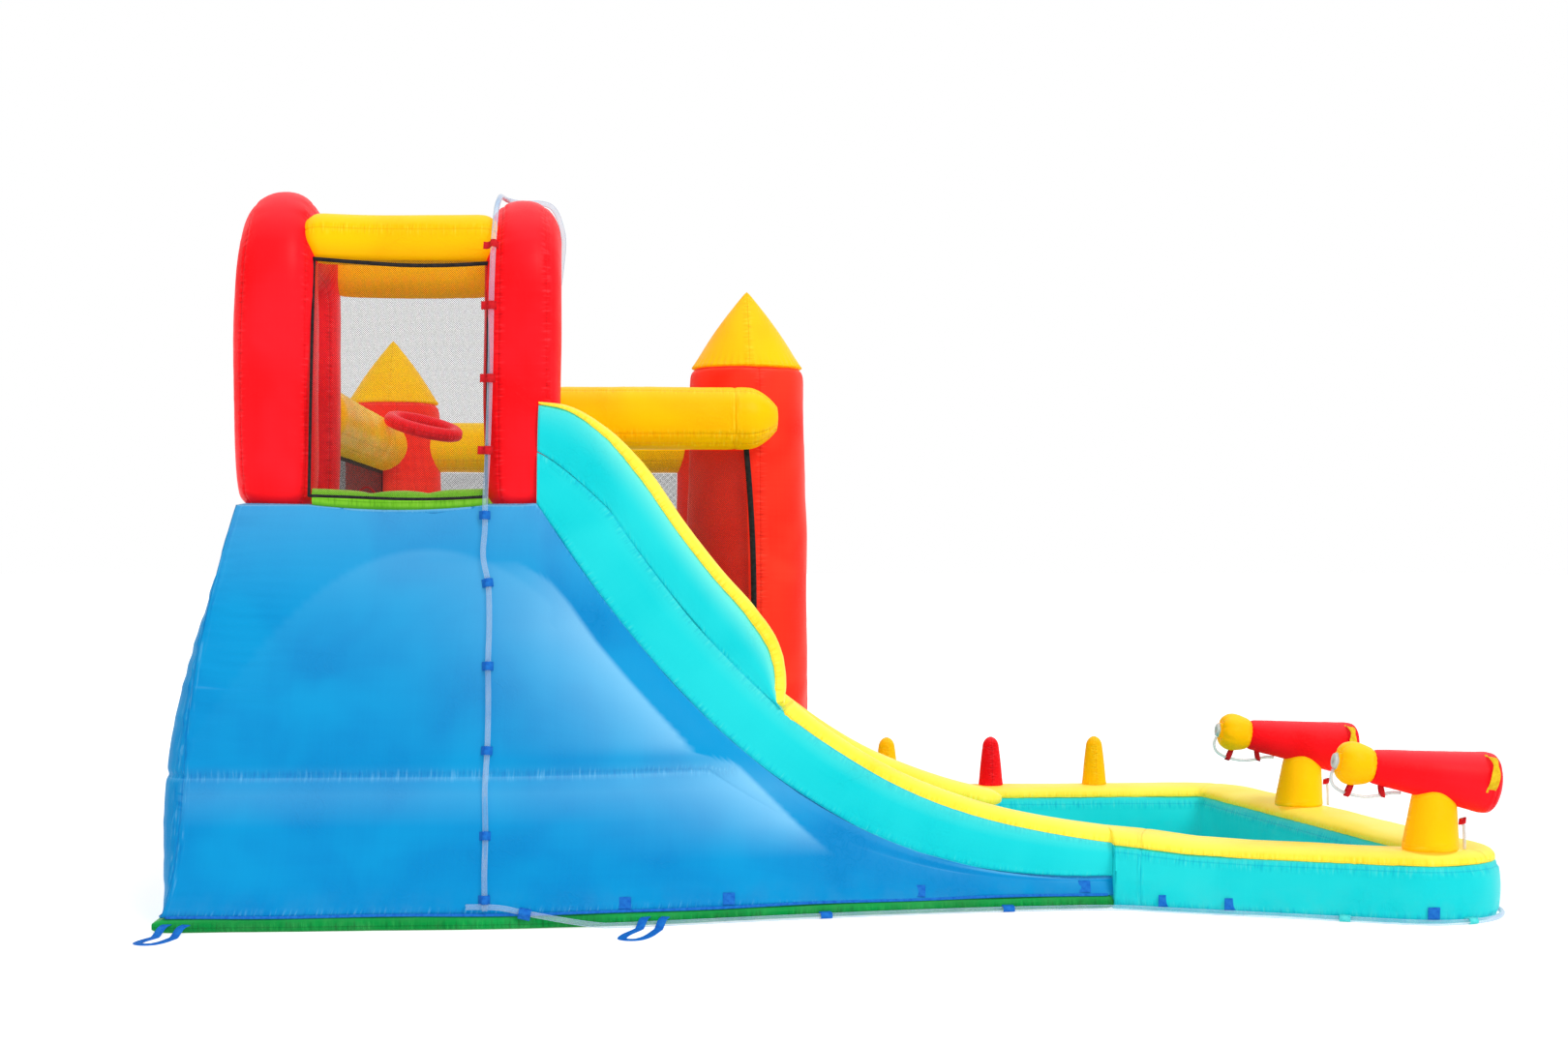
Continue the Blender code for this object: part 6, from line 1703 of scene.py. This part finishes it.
def makeNose(label, place, body, seed):
    # A gathered pouch with pleats that run in to the nozzle
    steps, radii = zip((0.0, 0.0515), (0.010, 0.0580), (0.032, 0.0655), (0.056, 0.0705), (0.078, 0.0705),
                       (0.096, 0.0640), (0.107, 0.0540), (0.1125, 0.0430), (0.1110, 0.0330), (0.104, 0.0260))
    profile = smoothProfile([(noseStart + f, r) for f, r in zip(steps, radii)], 52)
    angles = turnsOf(156)
    t, a = np.linspace(0, 1, 52)[:, None], angles[None, :]
    wander = 0.5 * noise2(t * 3 + 0 * a, a * 1.5 + 0 * t, seed + 3)
    pleat = np.abs(np.sin(a * cannonLook["pleats"] / 2 + wander)) ** 0.7 - 0.6
    fade = np.clip((t - 0.30) / 0.45, 0, 1) ** 1.2 * (1 - 0.5 * np.clip((t - 0.85) / 0.15, 0, 1))
    shape = cannonLook["pleatDepth"] * pleat * fade + 0.0016 * np.abs(np.sin(a * 9 + 1)) * np.exp(-t / 0.12)
    chamber("noseSkin_" + label, turnedGrid(place, profile, angles), "yellow fabric", ("cannon_nose_" + label,),
            body, seamRows=(1,), shape=shape, gather=0.0012, pitch=0.014, reach=0.014, groove=0.0012, dent=0.0008,
            seed=seed + 4)


def makeNozzle(label, place, body, seed):
    # Stepped plastic spigot with a rim and a small mouth, in a square collar of fabric
    corners = np.radians(np.arange(0, 360, 7.5))
    square = 0.029 / np.maximum(np.abs(np.cos(corners)), np.abs(np.sin(corners))) ** 0.8
    steps = ((0.100, 0.80), (0.104, 0.97), (0.108, 1.02), (0.116, 1.0), (0.120, 0.94), (0.121, 0.86))
    collar = [[onBarrel(place, noseStart + f, k * r * math.cos(a), k * r * math.sin(a))
               for a, r in zip(corners, square)] for f, k in steps]
    chamber("collar_" + label, np.array(collar), "yellow fabric", (), body, gather=0.0, groove=0.0, dent=0.0006,
            seed=seed + 6)
    profile = ((noseStart + 0.085, 0.0248), (noseTip - 0.018, 0.0248), (noseTip - 0.0165, 0.0275),
               (noseTip - 0.010, 0.0280), (noseTip - 0.0085, 0.0250), (noseTip - 0.002, 0.0244), (noseTip, 0.0220),
               (noseTip, 0.0120), (noseTip - 0.004, 0.0100), (noseTip - 0.03, 0.0095))
    item = skin("nozzleBody_" + label, turnedGrid(place, profile, turnsOf(36)), "grey plastic")
    change = item.modifiers.new("edges", "BEVEL")
    change.width, change.segments, change.limit_method, change.angle_limit = 0.0008, 2, "ANGLE", math.radians(35)
    placed(item, ("cannon_nozzle_" + label,), body)
    item.data.set_sharp_from_angle(angle=math.radians(35))


def makeTube(label, place, body):
    # Tube under the barrel, in its two loops
    route = ((noseTip - 0.0060, -0.0270), (noseTip - 0.001, -0.052), (noseTip - 0.010, -0.078),
             (noseTip - 0.040, -0.096), (noseTip - 0.080, -0.103), (noseTip - 0.125, -0.103),
             (noseTip - 0.172, -0.092), (0.135, -0.0775), (0.105, -barrelRadius(0.105) - tubeRadius))
    hose("tube_" + label, [onBarrel(place, f, 0.0, u) for f, u in route], tubeRadius, "clear tube",
         ("cannon_tube_" + label,), body, 0.006)
    along = onBarrel(place, 1, 0, 0.12) - onBarrel(place, 0, 0, 0)
    items = []
    for index, (forward, drop, near) in enumerate(((noseTip - 0.066, 0.102, 0.070), (0.170, 0.0875, 0.061))):
        loop = []
        for turn in np.linspace(0, 2 * math.pi, 17):
            up = -(near + drop + tubeRadius) / 2 + (drop + tubeRadius + 0.0058 - near) / 2 * math.cos(turn)
            lean = 0.006 * math.cos(turn) * (1 if index else -1)
            loop.append(onBarrel(place, forward + lean, 0.0085 * math.sin(turn), up))
        items.append(ribbonPlain("tubeLoop_%s_%d" % (label, index), loop, along, 0.018, 0.0022, "red webbing"))
    placed(joined("tubeLoops_" + label, items), (), body)


def makeHandle(label, place, body):
    # Webbing handle: sewn at both ends, pinched in the middle
    path, widths = [], []
    for share in np.arange(25) / 24:
        angle = math.radians(68 - 84 * share)
        lift = 0.0012 + 0.022 * math.sin(math.pi * min(max((share - 0.10) / 0.80, 0.0), 1.0)) ** 0.7
        lift = 0.001 if share in (0.0, 1.0) else lift
        forward = cannonLook["handlePlace"] - 0.004 * math.sin(math.pi * share)
        reach = barrelRadius(forward) + lift
        path.append(onBarrel(place, forward, -reach * math.cos(angle), reach * math.sin(angle)))
        widths.append(1 - 0.42 * math.exp(-((share - 0.42) / 0.12) ** 2))
    along = onBarrel(place, 1, 0, 0) - onBarrel(place, 0, 0, 0)
    item = ribbonPlain("handle_" + label, path, along, cannonLook["handleWidth"], 0.0024, "yellow webbing", widths)
    placed(item, (), body)


def makePedestal(label, place, body, seed):
    # A soft neck, cut to the barrel's underside
    look = cannonLook
    foot, rise = capTop + 0.0004, math.radians(cannonRise)
    rings = []
    for t in np.concatenate(((0.0, 0.01, 0.025), np.linspace(0.05, 1.0, 40))):
        ring = []
        tight = (look["neckRadius"] - look["neckTaper"] * t) * (1 - 0.05 * math.exp(-(t / 0.02)))
        for a in turnsOf(72):
            x, y = tight * (1 - 0.10 * t) * math.cos(a), tight * (1 - 0.22 * t ** 1.3) * math.sin(a)
            below = barrelRadius(-x) + 0.0012
            under = -math.sqrt(max(below ** 2 - y * y, 0.0)) / math.cos(rise) - x * math.tan(rise)
            top = pivotHeight + under + 0.001
            ring.append((place[0] + x - look["neckLean"] * (1 - t), place[1] + y, foot + (top - foot) * t))
        rings.append(ring)
    chamber("pedestalSkin_" + label, np.array(rings), "yellow fabric", ("cannon_pedestal_" + label,), body,
            seamRows=(1, len(rings) - 1), seamColumns=(0, 36), gather=0.0024, pitch=0.020, reach=0.022,
            groove=0.0010, dent=0.0014, seed=seed + 8)


def makeFeed(label, place, body):
    # Feed tube and its loop at the pedestal's rear
    low = capTop - pivotHeight
    feed = ((0.0905, -0.142), (0.098, -0.165), (0.101, -0.195), (0.101, low + 0.015), (0.101, low + 0.0006))
    hose("feed_" + label, [(place[0] + x, place[1], pivotHeight + z) for x, z in feed], tubeRadius, "clear tube",
         ("cannon_feed_" + label,), body, 0.006)
    ring = [(place[0] + 0.0945 + 0.0115 * math.cos(a), place[1] + 0.0095 * math.sin(a),
             pivotHeight - 0.152 + 0.003 * math.cos(a)) for a in np.linspace(0, 2 * math.pi, 17)]
    item = ribbonPlain("feedLoop_" + label, ring, (0.1, 0, 1), 0.020, 0.0022, "red webbing")
    placed(item, (), body)


for label, seed in (("near", 200), ("far", 220)):
    place, barrel, pedestal = cannonPlaces[label], "barrel_" + label, "pedestal_" + label
    makeBarrel(label, place, barrel, seed)
    makeNose(label, place, barrel, seed)
    makeNozzle(label, place, barrel, seed)
    makeTube(label, place, barrel)
    makeHandle(label, place, barrel)
    makePedestal(label, place, pedestal, seed)
    makeFeed(label, place, pedestal)
print("cannons made")


# hoses, tabs and anchor loops
riserX = -0.918


def riserRoute():
    # Up the base's near face, up the front arch's leg, over the arch and down to its underside
    route = [(riserX + x, float(baseNearY(riserX, z)) - hoseRadius - off, z) for x, z, off in (
        (0.006, 0.062, 0.001), (0.004, 0.17, 0.001), (0.006, 0.30, 0.001), (0.002, 0.45, 0.002),
        (0.008, 0.575, 0.001), (0.010, 0.72, 0.001), (0.008, 0.848, 0.001), (0.010, 1.0, 0.001),
        (0.004, 1.12, 0.001), (-0.012, 1.20, 0.006), (-0.008, 1.30, 0.006))]
    legSide = legNear - archDepth / 2 - 0.0238
    crown = archTop - archBend - archDepth / 2
    outer = archBend + archDepth / 2 + hoseRadius + 0.006
    route += [(riserX - 0.008, -1.7765, 1.38), (riserX - 0.002, legSide, 1.52), (riserX + 0.008, legSide, 1.85),
              (riserX + 0.012, legSide - 0.006, crown)]
    for angle in (32, 62):
        turn = math.radians(angle)
        route.append((riserX + 0.010 + 0.0002 * angle, legNear + archBend - outer * math.cos(turn),
                      crown + outer * math.sin(turn)))
    over = legNear + archBend + 0.12
    edge = archFrontX + archWidth / 2 + hoseRadius + 0.001
    under = archTop - archDepth - hoseRadius - 0.001
    return route + [
        (archFrontX - 0.03, over, archTop + hoseRadius + 0.003), (edge - 0.050, over + 0.02, archTop + 0.002),
        (edge - 0.010, over + 0.03, archTop - 0.09), (edge - 0.013, over + 0.05, under + 0.11),
        (edge - 0.045, over + 0.08, under - 0.008), (archFrontX + 0.02, over + 0.12, under)]


def supplyRoute():
    # Along the foot of the base and round the pool's near side
    lying = hoseRadius + 0.0006
    start = riserX + 0.0098
    side = float(baseNearY(riserX, 0.075)) - hoseRadius - 0.001
    route = [(riserX - 0.055, side - 0.001, 0.0755), (riserX, side, 0.075), (start + 0.035, side - 0.002, 0.073),
             (start + 0.14, float(matNearY(start + 0.14)) - 0.015, 0.053)]
    stations = np.linspace(deckRear - rearToe - 0.012, exitX, 12)
    route += [(x, float(matNearY(x)) - 0.015, lying) for x in stations[5:-1]]
    path, outward, _ = rimPath(0.05)
    outer = path + unit(outward) * (poolWidth / 2 + 0.016)
    for k in range(0, len(path), 2):
        x, y = path[k]
        if (y < -1.2 or x > 2.24) and y < -0.62 and x > 1.24:
            route.append((outer[k, 0], outer[k, 1], lying))
    return route


def flattened(path):
    line = curve(path, 0.012)
    line[:, 2] = np.maximum(line[:, 2], hoseRadius + 0.0005)
    return line


riserLine, supplyLine = flattened(riserRoute()), flattened(supplyRoute())
hose("hoseRiser", riserLine, hoseRadius, "clear hose", ("hose_riser",), smooth=False)
hose("hoseSupply", supplyLine, hoseRadius, "clear hose", ("hose_supply",), smooth=False)
tapeFloor = 0.0018      # lowest middle of a tape that lies on the ground


def tabsAlong(name, line, places, axis, look, out, left=0.034, right=0.016, width=0.028):
    # A tape loop over the hose at each place, its ends sewn to the fabric on both sides
    items = []
    for number, place in enumerate(places):
        index = int(np.argmin(abs(line[:, axis] - place)))
        centre = line[index]
        ahead = unit(line[min(index + 1, len(line) - 1)] - line[max(index - 1, 0)])
        outward = np.array(out, float)
        outward = unit(outward - ahead * outward.dot(ahead))
        side = np.cross(outward, ahead)
        side = side if side[0] + side[2] * 0.5 > 0 else -side
        r = hoseRadius + 0.0022
        profile = [(-left, -r + 0.003), (-r - 0.008, -r + 0.003), (-r - 0.0005, -0.003), (-r * 0.75, r * 0.72),
                   (0.0, r), (r * 0.75, r * 0.72), (r + 0.0005, -0.003), (r + 0.006, -r + 0.003),
                   (right, -r + 0.003)]
        path = np.array([centre + side * a + outward * b for a, b in profile])
        path[:, 2] = np.maximum(path[:, 2], tapeFloor)
        items.append(ribbonPlain(name + "_%d" % number, path, ahead, width, 0.0022, look))
    placed(joined(name, items))


tabsAlong("riserTabsBlue", riserLine, (1.344, 1.12, 0.848, 0.575, 0.303, 0.10), 2, "blue webbing", (0, -1, 0.15),
          left=0.020)
upTo = int(np.argmax(riserLine[:, 2] > 2.36))
tabsAlong("riserTabsRed", riserLine[:upTo], (2.251, 2.033, 1.799, 1.552), 2, "red webbing", (0, -1, 0))
tabsAlong("supplyTabsBlue", supplyLine, (-0.789, 0.2035, 0.833), 0, "blue webbing", (0, -1, 0.5), left=0.014,
          right=0.018, width=0.040)
nearRim = supplyLine[(supplyLine[:, 1] < -1.7) & (supplyLine[:, 0] > 1.3)]
tabsAlong("supplyTabsCyan", nearRim, (1.904, 2.30), 0, "cyan webbing", (0, -1, 0.5), left=0.012, right=0.018,
          width=0.036)


def flatTabs(name, places, look, size=0.040):
    items = []
    for number, (x, y, z, lean) in enumerate(places):
        path = [(x, y - 0.0018 + lean * k / 3, z + size * k / 3) for k in range(4)]
        items.append(ribbonPlain(name + "_%d" % number, path, (1.0, 0.0, 0.0), size, 0.0024, look))
    placed(joined(name, items))


def makeFlatTabs():
    tabs = []
    for x in (-0.4625, -0.121, 0.527, 1.103):
        low, high = float(baseNearY(x, 0.056)), float(baseNearY(x, 0.096))
        tabs.append((x, low - 0.001, 0.056, high - low))
    flatTabs("baseTabs", tabs, "blue webbing")
    tabs = []
    path, outward, _ = rimPath(0.02)
    for x in (1.405, 1.62, 2.178):
        k = int(np.argmin(abs(path[:, 0] - x) + 9 * (path[:, 1] > -1.4)))
        spot = path[k] + unit(outward[k]) * (poolWidth / 2 + 0.0035)
        tabs.append((spot[0], spot[1], 0.018, -0.004))
    flatTabs("rimTabs", tabs, "blue webbing")


strapLook = {"heading": -108.0, "half": 0.032, "lying": 0.0021, "width": 0.029, "thickness": 0.0028}


def strapLine(x, reach):
    # Out from under the mat's edge, round and back, as a narrow loop on the ground
    heading, half, lying = math.radians(strapLook["heading"]), strapLook["half"], strapLook["lying"]
    out = np.array((math.cos(heading), math.sin(heading)))
    side = np.array((-out[1], out[0])) * half
    start = np.array((x, float(matNearY(x))))
    leg = ((0.0, 0.030), (0.035, 0.026), (0.08, lying), (reach - half, lying))
    path = [tuple(start + out * run + side) + (z,) for run, z in leg]
    for angle in (60, 30, 0, -30, -60):
        turn = math.radians(angle)
        path.append(tuple(start + out * (reach - half + half * math.cos(turn)) + side * math.sin(turn)) + (lying,))
    return np.array(path + [tuple(start + out * run - side) + (z,) for run, z in leg[::-1]])


def makeStraps():
    for name, x, reach, stands in (("anchorLoopRear", -1.885, 0.21, "anchor_strap_rear"),
                                   ("anchorLoopSide", -0.36, 0.29, "anchor_strap_side")):
        line = curve(strapLine(x, reach), 0.008)
        line[:, 2] = np.maximum(line[:, 2], tapeFloor)
        ahead = np.gradient(line, axis=0)
        across = unit(np.stack((-ahead[:, 1], ahead[:, 0], 0 * ahead[:, 0]), -1))
        ribbon(name, line, across, strapLook["width"], strapLook["thickness"], "blue webbing", (stands,),
               step=0.008)


makeFlatTabs()
makeStraps()
print("hoses and straps made")
